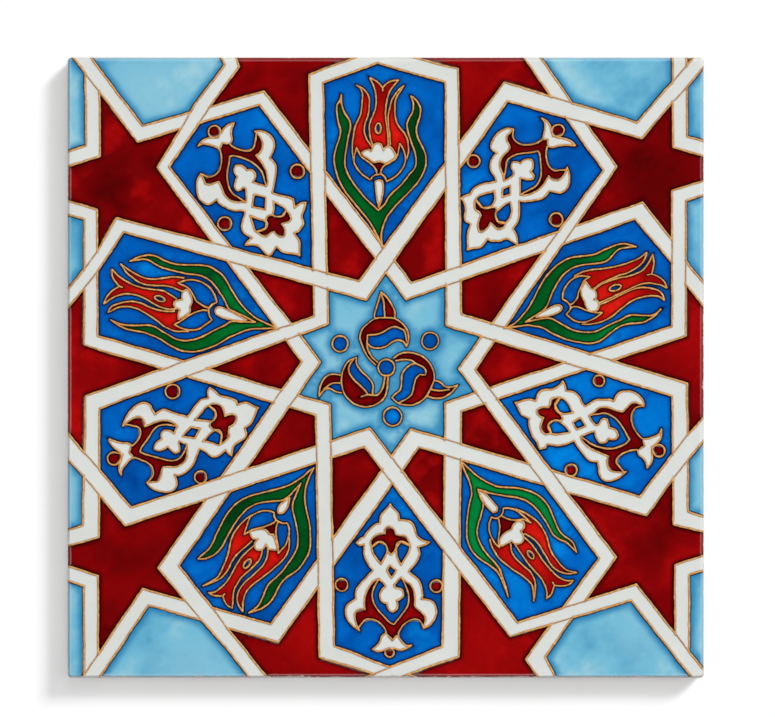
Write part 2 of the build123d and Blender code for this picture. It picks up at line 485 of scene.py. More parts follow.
# %% The five tulips, each petal turned upright
tulips = {
    90: {
        "leaves": [
            (341.3, 94.7), (339.4, 101.3), (336.7, 105.3), (336.6, 112.8), (338.3, 122.0), (340.6, 130.0),
            (339.4, 138.1), (336.0, 147.5), (334.1, 157.6), (335.2, 167.1), (338.1, 178.1), (343.3, 188.4),
            (350.6, 198.9), (358.9, 208.7), (366.5, 218.0), (373.3, 228.5), (379.2, 239.5), (382.0, 248.0),
            (381.5, 235.3), (383.1, 226.5), (386.7, 217.0), (393.3, 208.2), (402.9, 198.7), (413.1, 188.4),
            (420.5, 178.9), (424.9, 168.6), (426.0, 159.8), (424.1, 150.3), (419.7, 142.0), (417.2, 135.2),
            (416.6, 128.9), (418.1, 123.1), (420.4, 115.7), (420.9, 108.8), (418.1, 102.5), (414.0, 97.9),
            (410.6, 95.9), (412.9, 101.3), (413.6, 107.1), (412.3, 112.8), (408.9, 119.1), (407.1, 124.3),
            (407.7, 130.0), (409.4, 137.5), (412.0, 145.0), (415.0, 153.2), (416.1, 160.5), (415.0, 167.9),
            (409.5, 174.5), (402.1, 184.0), (394.1, 191.3), (388.2, 197.2), (384.5, 203.8), (377.9, 210.4),
            (368.9, 201.6), (360.9, 192.8), (353.5, 183.3), (347.7, 173.7), (345.1, 164.9), (344.9, 156.9),
            (346.6, 145.0), (348.3, 136.3), (350.1, 130.0), (350.4, 123.7), (348.1, 118.0), (344.0, 111.7),
            (341.3, 103.6),
        ],
        "left petal": [
            (353.5, 158.3), (352.1, 151.7), (352.4, 143.2), (353.5, 136.3), (354.7, 128.9), (357.2, 122.0),
            (360.1, 115.1), (361.3, 108.8), (361.8, 101.3), (362.4, 94.4), (360.1, 87.6), (356.4, 85.5),
            (362.4, 88.1), (367.0, 93.3), (369.0, 97.9), (369.0, 104.8), (368.4, 111.7), (367.3, 117.4),
            (365.3, 123.1), (364.4, 128.9), (365.0, 134.6), (367.0, 139.8), (369.3, 143.2), (372.6, 147.3),
        ],
        "middle petal": [
            (373.0, 146.0), (371.6, 142.1), (370.2, 136.9), (369.6, 130.0), (369.9, 123.1), (372.2, 116.8),
            (374.7, 109.9), (375.6, 102.5), (375.6, 95.6), (374.5, 88.7), (372.2, 83.0), (369.9, 77.8),
            (373.9, 79.5), (377.9, 82.4), (382.5, 87.6), (386.5, 83.5), (391.6, 80.7), (398.0, 80.4),
            (394.5, 84.7), (389.9, 91.0), (387.3, 97.9), (385.9, 104.8), (385.3, 111.7), (385.6, 117.4),
            (387.1, 126.0), (388.2, 134.6), (388.5, 146.0),
        ],
        "notch": [(382.5, 87.6), (382.3, 91.0)],
        "right petal": [
            (390.5, 144.5), (390.0, 134.0), (388.6, 124.0), (388.3, 115.1), (389.6, 107.6), (391.6, 100.2),
            (395.1, 94.4), (399.1, 89.3), (403.4, 85.8), (400.3, 91.0), (397.1, 95.6), (395.1, 101.3),
            (394.8, 108.8), (395.4, 116.3), (397.4, 123.1), (400.8, 128.9), (404.3, 134.1), (406.9, 139.8),
            (408.0, 146.0), (408.4, 152.5), (406.9, 158.3),
        ],
        "eye": ((378.5, 128.5), 2.8, 5.2),
        "calyx": [
            (361.6, 152.5), (364.5, 150.3), (368.9, 149.2), (371.1, 151.0), (372.6, 147.3), (374.1, 144.4),
            (377.7, 142.9), (381.4, 144.4), (383.5, 150.0), (386.0, 146.6), (388.9, 145.9), (391.9, 148.1),
            (394.8, 152.5), (396.3, 155.4), (394.8, 158.3), (390.4, 161.3), (385.3, 163.0), (379.4, 161.0),
            (374.0, 162.0), (368.2, 158.3), (363.1, 154.7),
        ],
        "left lobe": [
            (356.5, 147.5), (353.7, 159.7), (356.5, 167.1), (361.5, 173.5), (366.2, 177.2), (370.4, 180.0),
            (372.6, 176.3), (376.5, 174.0), (376.0, 170.0), (372.3, 165.0), (366.2, 160.0), (361.0, 156.0),
        ],
        "right lobe": [
            (399.5, 143.5), (402.6, 148.0), (405.3, 154.7), (405.5, 161.5), (402.6, 168.8), (397.6, 174.7),
            (392.0, 179.0), (386.4, 181.8), (384.8, 177.4), (381.0, 174.0), (380.8, 170.5), (383.7, 166.0),
            (390.5, 162.0), (396.8, 157.0),
        ],
        "arc": [(372.6, 176.3), (376.3, 174.5), (381.6, 174.5), (384.8, 177.4)],
        "bud": [
            (374.8, 181.1), (378.5, 180.0), (382.1, 181.1), (383.2, 187.7), (381.4, 197.9), (378.5, 207.0),
            (376.6, 197.9), (375.5, 187.7),
        ],
    },
    18: {
        "leaves": [
            (352.5, 92.5), (348.7, 98.0), (346.0, 102.5), (344.8, 110.0), (345.8, 126.3), (346.6, 135.0),
            (344.2, 147.5), (342.7, 157.5), (344.5, 169.7), (347.8, 178.0), (352.8, 186.3), (358.7, 193.8),
            (365.3, 200.5), (372.0, 207.2), (377.8, 213.8), (382.8, 222.2), (386.4, 229.0), (389.5, 241.0),
            (390.6, 233.0), (392.6, 221.0), (396.2, 213.0), (401.2, 205.5), (407.8, 199.7), (414.5, 192.2),
            (420.3, 184.7), (425.3, 176.3), (428.7, 169.7), (430.7, 161.3), (430.2, 154.0), (425.2, 140.0),
            (423.0, 131.3), (423.3, 123.0), (425.2, 114.7), (426.2, 107.0), (424.0, 97.0), (419.2, 88.0),
            (422.2, 96.0), (421.3, 102.5), (416.5, 115.5), (415.8, 121.5), (417.3, 129.0), (418.6, 144.5),
            (420.0, 154.0), (419.3, 162.0), (416.8, 169.0), (412.6, 176.5), (406.5, 183.3), (394.8, 194.5),
            (392.2, 200.5), (390.8, 208.0), (389.3, 221.0), (387.3, 213.0), (385.4, 205.5), (381.6, 196.5),
            (371.2, 187.3), (365.3, 181.5), (360.3, 175.5), (356.2, 169.5), (353.3, 161.5), (352.5, 154.5),
            (353.4, 146.0), (356.4, 132.0), (356.8, 125.0), (355.0, 120.0), (350.0, 110.5), (349.8, 104.0),
        ],
        "left petal": [
            (361.3, 160.0), (359.6, 151.3), (360.2, 143.0), (361.8, 134.7), (363.8, 126.3), (365.0, 118.0),
            (365.3, 109.7), (365.0, 101.3), (364.0, 93.0), (361.2, 83.8), (366.4, 87.2), (370.3, 93.0),
            (372.8, 100.5), (374.3, 108.5), (374.5, 117.0), (375.2, 125.5), (376.0, 134.0), (378.5, 145.0),
        ],
        "middle petal": [
            (379.8, 145.0), (377.8, 138.0), (376.8, 129.7), (376.8, 121.3), (377.4, 113.0), (377.8, 104.7),
            (377.0, 96.3), (374.5, 89.7), (370.3, 83.8), (365.0, 78.8), (372.0, 79.7), (377.8, 82.2),
            (382.8, 86.0), (386.2, 81.3), (391.2, 77.2), (396.2, 75.5), (401.2, 75.7), (397.0, 79.7),
            (393.7, 84.7), (390.7, 91.3), (389.3, 98.0), (389.6, 106.3), (390.8, 114.7), (391.8, 123.0),
            (393.0, 131.3), (394.2, 145.0),
        ],
        "notch": [(382.8, 86.0), (382.3, 90.5)],
        "right petal": [
            (396.0, 145.0), (395.6, 136.3), (394.4, 128.0), (393.0, 119.7), (391.8, 111.3), (391.8, 103.0),
            (393.7, 96.3), (397.0, 89.7), (400.3, 84.9), (405.3, 81.8), (411.6, 81.9), (406.8, 85.7),
            (403.3, 93.0), (402.0, 99.7), (401.7, 108.0), (403.3, 116.3), (406.7, 124.7), (410.3, 133.0),
            (412.3, 141.3), (412.8, 149.7), (411.7, 158.8), (409.0, 167.5),
        ],
        "eye": ((384.9, 124.5), 2.8, 6.2),
        "calyx": [
            (369.0, 151.2), (374.0, 149.0), (377.6, 148.2), (379.6, 145.4), (384.0, 143.8), (387.8, 145.5),
            (389.4, 148.5), (391.2, 145.5), (395.6, 144.7), (399.5, 147.5), (401.4, 151.0), (398.6, 156.3),
            (393.7, 158.2), (387.8, 158.2), (382.0, 159.0), (376.2, 157.3), (372.0, 154.0),
        ],
        "left lobe": [
            (366.3, 145.5), (362.8, 154.0), (362.8, 159.0), (364.0, 164.7), (367.8, 171.3), (373.7, 176.3),
            (379.2, 178.4), (382.0, 175.5), (386.8, 173.5), (386.6, 169.4), (382.8, 163.8), (378.5, 161.2),
            (373.0, 156.5), (368.6, 152.5),
        ],
        "right lobe": [
            (404.6, 145.0), (407.3, 154.0), (408.0, 163.0), (406.2, 168.8), (402.0, 174.7), (397.8, 177.7),
            (394.8, 179.5), (392.6, 175.5), (389.9, 173.0), (390.3, 168.5), (393.2, 164.0), (397.2, 159.0),
            (402.0, 152.0),
        ],
        "arc": [(379.2, 178.4), (383.5, 174.7), (388.6, 173.3), (392.6, 175.5), (394.8, 179.5)],
        "bud": [
            (386.7, 181.5), (389.6, 183.0), (390.9, 188.0), (390.8, 194.7), (390.0, 201.5), (388.4, 209.0),
            (386.4, 207.2), (385.0, 201.3), (383.7, 194.7), (382.8, 188.0), (384.0, 183.0),
        ],
    },
    306: {
        "leaves": [
            (345.4, 102.5), (342.8, 109.7), (343.2, 115.0), (345.5, 121.5), (346.6, 129.0), (345.3, 136.5),
            (343.2, 144.7), (341.2, 153.0), (340.8, 161.3), (342.3, 169.7), (346.2, 178.0), (351.2, 184.7),
            (357.0, 190.5), (363.7, 195.7), (370.3, 201.5), (375.3, 209.7), (379.5, 218.0), (382.0, 226.3),
            (383.7, 234.7), (385.4, 243.5), (387.8, 234.7), (389.5, 226.3), (391.7, 218.8), (395.3, 211.5),
            (401.2, 206.0), (408.7, 198.8), (416.2, 190.5), (422.0, 183.0), (426.7, 174.7), (428.7, 166.3),
            (428.3, 158.0), (426.2, 149.7), (422.8, 141.3), (420.8, 133.0), (421.4, 125.0), (423.4, 118.0),
            (426.6, 106.0), (422.0, 118.0), (419.8, 125.0), (417.9, 130.5), (417.1, 136.3), (417.8, 144.7),
            (418.7, 153.0), (418.7, 161.3), (417.3, 169.7), (413.7, 177.2), (407.8, 183.0), (401.2, 188.0),
            (391.6, 196.5), (390.9, 202.0), (388.0, 211.0), (383.8, 206.0), (381.8, 202.5), (373.7, 193.5),
            (368.7, 188.3), (362.0, 182.2), (356.7, 175.5), (353.7, 168.0), (352.0, 159.7), (351.7, 151.3),
            (352.3, 143.0), (353.3, 136.3), (354.0, 130.0), (351.9, 123.0), (348.0, 116.3), (346.4, 110.0),
        ],
        "left petal": [
            (369.0, 172.7), (364.5, 165.5), (361.2, 158.0), (359.0, 151.3), (358.7, 143.0), (360.0, 134.7),
            (362.0, 128.0), (364.5, 121.3), (365.7, 113.0), (365.7, 104.7), (365.0, 98.0), (363.3, 93.0),
            (357.0, 85.5), (363.7, 88.8), (368.7, 93.8), (372.3, 100.5), (373.2, 108.0), (372.0, 118.0),
            (371.5, 126.3), (371.7, 134.7), (373.3, 141.3), (376.0, 147.5),
        ],
        "middle petal": [
            (378.5, 144.5), (377.3, 138.0), (376.7, 129.7), (377.0, 121.3), (377.3, 113.0), (377.0, 104.7),
            (375.7, 96.3), (373.3, 89.7), (369.5, 84.7), (364.5, 81.0), (370.3, 80.5), (376.2, 83.2),
            (382.8, 88.5), (386.2, 86.0), (391.2, 82.7), (397.0, 82.2), (393.3, 86.3), (390.7, 93.0),
            (389.5, 101.3), (390.0, 109.7), (390.7, 118.0), (390.9, 126.3), (390.7, 134.7), (390.4, 145.0),
        ],
        "notch": [(382.8, 88.5), (382.5, 92.2)],
        "right petal": [
            (393.5, 148.0), (397.0, 141.3), (398.0, 134.7), (397.3, 128.0), (395.3, 119.7), (394.0, 113.0),
            (394.8, 106.3), (397.0, 101.3), (402.5, 94.0), (408.3, 87.7), (404.0, 94.5), (400.7, 101.3),
            (400.8, 108.0), (402.8, 116.3), (406.2, 124.7), (409.0, 133.0), (411.2, 141.3), (411.2, 149.7),
            (410.0, 158.0), (407.6, 164.0),
        ],
        "eye": ((383.7, 127.2), 2.4, 5.2),
        "calyx": [
            (370.7, 156.3), (372.8, 153.0), (377.6, 152.2), (378.3, 147.2), (380.3, 143.8), (384.5, 142.2),
            (388.7, 143.8), (390.5, 147.0), (390.9, 150.0), (396.2, 150.2), (401.8, 151.0), (403.3, 153.8),
            (399.5, 157.4), (394.5, 159.7), (389.8, 160.0), (384.5, 159.3), (380.3, 161.3), (375.3, 162.2),
            (371.7, 159.7),
        ],
        "left lobe": [
            (364.8, 152.5), (366.4, 160.5), (368.3, 168.0), (371.2, 173.8), (375.3, 178.0), (379.0, 180.6),
            (381.4, 177.7), (385.0, 176.0), (383.6, 173.2), (380.0, 168.2), (376.4, 164.6), (371.8, 161.6),
            (368.6, 159.5),
        ],
        "right lobe": [
            (404.6, 151.5), (405.6, 157.5), (405.0, 164.0), (403.5, 169.7), (400.3, 175.5), (397.0, 178.2),
            (393.7, 180.7), (391.6, 177.5), (388.8, 175.8), (389.8, 172.4), (393.0, 166.8), (396.8, 162.2),
            (401.5, 157.5),
        ],
        "arc": [(379.0, 180.6), (382.0, 177.4), (386.7, 176.0), (391.0, 177.2), (393.7, 180.7)],
        "bud": [
            (386.2, 182.0), (389.5, 183.3), (390.4, 188.0), (390.4, 196.3), (389.5, 204.7), (387.8, 210.3),
            (385.3, 205.5), (383.7, 198.0), (383.1, 191.3), (383.2, 184.7),
        ],
    },
    234: {
        "leaves": [
            (354.3, 82.0), (349.5, 88.8), (346.2, 94.7), (343.7, 101.3), (343.0, 109.7), (344.5, 118.0),
            (345.7, 125.5), (345.0, 133.0), (342.0, 140.5), (339.5, 148.0), (339.5, 156.3), (341.2, 166.3),
            (345.3, 174.7), (351.2, 182.2), (357.8, 189.7), (365.3, 196.5), (372.8, 203.8), (378.7, 211.5),
            (382.8, 219.7), (385.3, 228.0), (386.7, 237.8), (389.0, 232.0), (390.2, 226.0), (392.2, 219.5),
            (395.3, 212.2), (399.5, 204.7), (405.3, 197.2), (412.0, 189.7), (417.8, 183.0), (422.8, 176.3),
            (427.0, 168.0), (429.2, 159.7), (429.8, 151.3), (429.2, 143.0), (427.8, 134.7), (426.7, 126.3),
            (425.0, 118.0), (424.5, 109.7), (426.2, 102.2), (427.3, 96.0), (423.5, 98.5), (420.3, 102.2),
            (417.0, 108.0), (415.3, 114.7), (415.0, 122.2), (416.2, 130.5), (417.3, 139.7), (418.2, 148.0),
            (418.2, 156.3), (417.0, 164.7), (414.5, 171.3), (410.3, 178.0), (404.5, 183.8), (397.8, 188.8),
            (392.8, 194.0), (390.6, 200.0), (389.4, 208.0), (388.2, 218.0), (386.8, 211.3), (385.4, 204.7),
            (383.5, 198.0), (380.3, 192.7), (374.5, 187.4), (367.8, 181.3), (361.2, 174.7), (356.2, 168.0),
            (352.8, 160.5), (351.7, 151.3), (351.7, 143.0), (352.0, 134.7), (353.3, 126.3), (354.5, 118.0),
            (353.7, 110.5), (352.0, 103.0), (351.2, 95.5), (351.9, 89.0),
        ],
        "left petal": [
            (366.0, 166.8), (362.0, 161.3), (359.0, 156.0), (357.8, 149.7), (358.3, 143.0), (360.3, 134.7),
            (362.0, 126.3), (364.5, 118.0), (367.3, 109.7), (368.7, 101.3), (367.8, 94.7), (365.0, 87.2),
            (359.8, 79.8), (365.3, 81.3), (371.2, 85.5), (374.5, 91.3), (375.8, 98.8), (375.3, 106.3),
            (373.3, 114.7), (371.7, 123.0), (371.2, 131.3), (372.8, 138.0), (376.4, 145.0),
        ],
        "middle petal": [
            (380.3, 140.5), (378.3, 136.3), (377.0, 129.7), (378.3, 119.7), (380.3, 111.3), (381.2, 103.0),
            (380.3, 94.7), (377.8, 88.0), (374.5, 83.0), (370.3, 76.0), (376.2, 75.5), (381.2, 77.4),
            (385.2, 80.5), (388.7, 78.0), (393.7, 75.5), (398.5, 75.0), (394.5, 78.8), (391.7, 86.3),
            (390.7, 94.7), (391.2, 103.0), (392.3, 111.3), (392.8, 119.7), (392.3, 128.0), (391.2, 134.7),
            (389.6, 140.5),
        ],
        "notch": [(385.2, 80.5), (384.9, 83.6)],
        "right petal": [
            (394.0, 142.5), (395.3, 136.3), (397.0, 129.7), (398.3, 121.3), (397.8, 113.0), (396.5, 106.3),
            (396.5, 99.7), (397.4, 93.8), (402.3, 84.5), (407.3, 77.5), (403.5, 85.0), (400.6, 91.5),
            (400.7, 98.0), (402.0, 104.7), (404.0, 113.0), (407.0, 121.3), (410.3, 128.8), (412.8, 136.3),
            (413.3, 144.7), (412.8, 153.0), (409.8, 163.5),
        ],
        "eye": ((384.5, 121.2), 2.7, 5.6),
        "calyx": [
            (367.8, 150.0), (372.0, 147.0), (376.5, 145.8), (380.2, 147.8), (380.3, 142.5), (382.0, 139.5),
            (385.3, 138.0), (388.7, 139.6), (390.6, 143.0), (390.2, 147.8), (393.7, 145.2), (397.8, 146.3),
            (401.9, 149.0), (397.0, 154.2), (392.8, 158.0), (387.8, 159.2), (384.0, 158.0), (380.3, 160.0),
            (376.2, 156.8), (372.0, 153.5),
        ],
        "left lobe": [
            (365.5, 147.5), (364.6, 158.0), (366.2, 164.7), (368.7, 170.5), (372.0, 174.7), (375.7, 177.7),
            (379.5, 175.0), (383.8, 173.5), (383.0, 169.0), (380.0, 163.6), (375.6, 158.6), (370.5, 153.9),
        ],
        "right lobe": [
            (404.5, 142.8), (407.0, 151.0), (409.6, 160.5), (407.0, 168.0), (402.8, 173.8), (397.8, 177.2),
            (392.8, 178.3), (390.6, 175.2), (386.8, 173.4), (387.9, 168.8), (391.3, 162.9), (395.6, 157.6),
            (400.6, 151.5),
        ],
        "arc": [(375.7, 177.7), (379.5, 175.0), (385.3, 173.6), (390.3, 175.2), (392.8, 178.3)],
        "bud": [
            (388.6, 180.5), (391.2, 182.8), (392.6, 187.2), (391.7, 192.2), (389.2, 199.0), (386.7, 194.7),
            (384.8, 190.5), (384.5, 186.3), (385.7, 182.6),
        ],
    },
    162: {
        "leaves": [
            (344.8, 87.3), (342.8, 93.0), (341.2, 98.8), (340.8, 106.3), (342.3, 114.7), (343.3, 123.0),
            (342.8, 131.3), (342.0, 139.7), (339.8, 148.0), (338.2, 156.3), (337.5, 164.7), (339.5, 174.7),
            (343.7, 183.0), (349.5, 190.5), (356.2, 198.0), (363.7, 204.7), (370.3, 211.5), (376.2, 218.8),
            (380.3, 226.3), (383.7, 234.7), (388.5, 248.5), (390.0, 234.7), (391.2, 226.3), (393.7, 218.0),
            (397.8, 209.7), (402.8, 202.2), (409.5, 194.7), (416.2, 187.2), (421.7, 179.7), (424.5, 171.3),
            (425.7, 163.0), (424.5, 154.7), (422.0, 146.3), (419.2, 138.0), (417.8, 131.3), (417.5, 123.0),
            (418.7, 114.7), (418.7, 106.3), (416.2, 99.7), (412.0, 93.0), (407.0, 87.3), (410.3, 94.7),
            (412.6, 100.5), (412.8, 106.3), (411.2, 113.8), (410.3, 121.3), (410.8, 129.7), (411.7, 138.0),
            (412.8, 146.3), (414.5, 154.7), (414.5, 163.0), (412.5, 170.5), (408.7, 177.2), (403.7, 183.8),
            (398.7, 189.7), (392.0, 196.0), (391.2, 201.0), (389.8, 211.0), (387.2, 226.0), (384.2, 215.0),
            (380.8, 202.7), (375.3, 198.0), (369.5, 192.4), (362.8, 185.7), (357.0, 179.7), (352.0, 173.0),
            (348.2, 164.7), (347.0, 156.3), (348.3, 148.0), (350.0, 139.7), (351.7, 131.3), (351.2, 123.8),
            (348.7, 116.3), (346.2, 109.7), (344.0, 102.2), (343.7, 95.0),
        ],
        "left petal": [
            (357.8, 164.7), (356.2, 158.8), (354.5, 153.0), (354.5, 146.3), (355.8, 138.0), (358.7, 129.7),
            (361.2, 121.3), (363.2, 113.0), (363.7, 104.7), (362.3, 98.0), (359.5, 91.3), (351.2, 82.5),
            (357.8, 83.9), (362.8, 89.7), (366.7, 96.3), (369.2, 103.8), (369.8, 111.3), (368.7, 119.7),
            (368.3, 128.0), (369.5, 136.3), (372.5, 145.0),
        ],
        "middle petal": [
            (375.5, 146.0), (372.8, 139.7), (372.0, 133.0), (372.8, 124.7), (374.8, 116.3), (376.2, 108.0),
            (375.8, 101.3), (374.5, 94.7), (371.2, 88.0), (366.2, 82.2), (358.0, 75.8), (364.5, 76.3),
            (371.2, 78.8), (376.2, 82.4), (379.6, 85.0), (382.0, 80.5), (386.2, 75.5), (393.3, 72.5),
            (390.3, 78.0), (387.8, 84.7), (385.7, 93.0), (384.7, 101.3), (385.3, 109.7), (386.7, 118.0),
            (388.2, 126.3), (387.8, 133.0), (385.0, 143.5),
        ],
        "notch": [(379.6, 85.0), (379.2, 88.6)],
        "right petal": [
            (394.2, 146.5), (394.5, 132.2), (392.8, 124.7), (390.7, 116.3), (389.2, 108.0), (389.5, 101.3),
            (391.7, 94.7), (394.5, 88.0), (401.2, 79.3), (398.7, 87.2), (396.7, 93.8), (395.3, 101.3),
            (395.6, 109.7), (397.8, 118.0), (401.2, 125.5), (404.5, 132.2), (406.4, 138.0), (407.6, 144.0),
        ],
        "eye": ((380.0, 127.7), 2.6, 5.6),
        "calyx": [
            (366.0, 151.3), (371.2, 149.7), (375.8, 149.9), (376.2, 145.8), (378.7, 142.4), (382.0, 142.5),
            (384.3, 145.5), (386.0, 149.5), (389.5, 147.7), (393.7, 147.2), (397.2, 149.7), (395.3, 153.8),
            (391.2, 157.4), (387.0, 159.6), (382.5, 158.8), (377.8, 160.4), (373.7, 158.3), (369.5, 155.0),
        ],
        "left lobe": [
            (360.2, 149.0), (358.8, 158.0), (359.5, 166.3), (362.8, 173.8), (368.7, 179.0), (375.7, 184.0),
            (378.8, 180.5), (383.4, 178.0), (382.9, 172.8), (379.2, 166.6), (374.8, 161.8), (368.4, 156.8),
            (363.7, 152.8),
        ],
        "right lobe": [
            (400.6, 139.5), (406.2, 147.0), (408.7, 154.7), (408.8, 163.0), (406.2, 171.3), (401.2, 178.0),
            (397.0, 181.3), (393.7, 183.2), (391.0, 179.9), (386.3, 177.6), (386.7, 172.0), (387.9, 167.2),
            (389.5, 162.6), (393.7, 158.4), (397.8, 153.8), (399.8, 147.5),
        ],
        "arc": [(375.7, 184.0), (378.8, 180.2), (384.6, 177.4), (390.5, 179.0), (393.7, 183.2)],
        "bud": [
            (386.2, 183.6), (389.6, 185.0), (390.8, 189.7), (390.0, 198.0), (389.0, 206.3), (386.6, 217.0),
            (384.5, 213.0), (382.8, 204.7), (381.7, 196.3), (381.7, 189.7), (383.3, 185.0),
        ],
    },
}
print(len(tulips), "tulips")

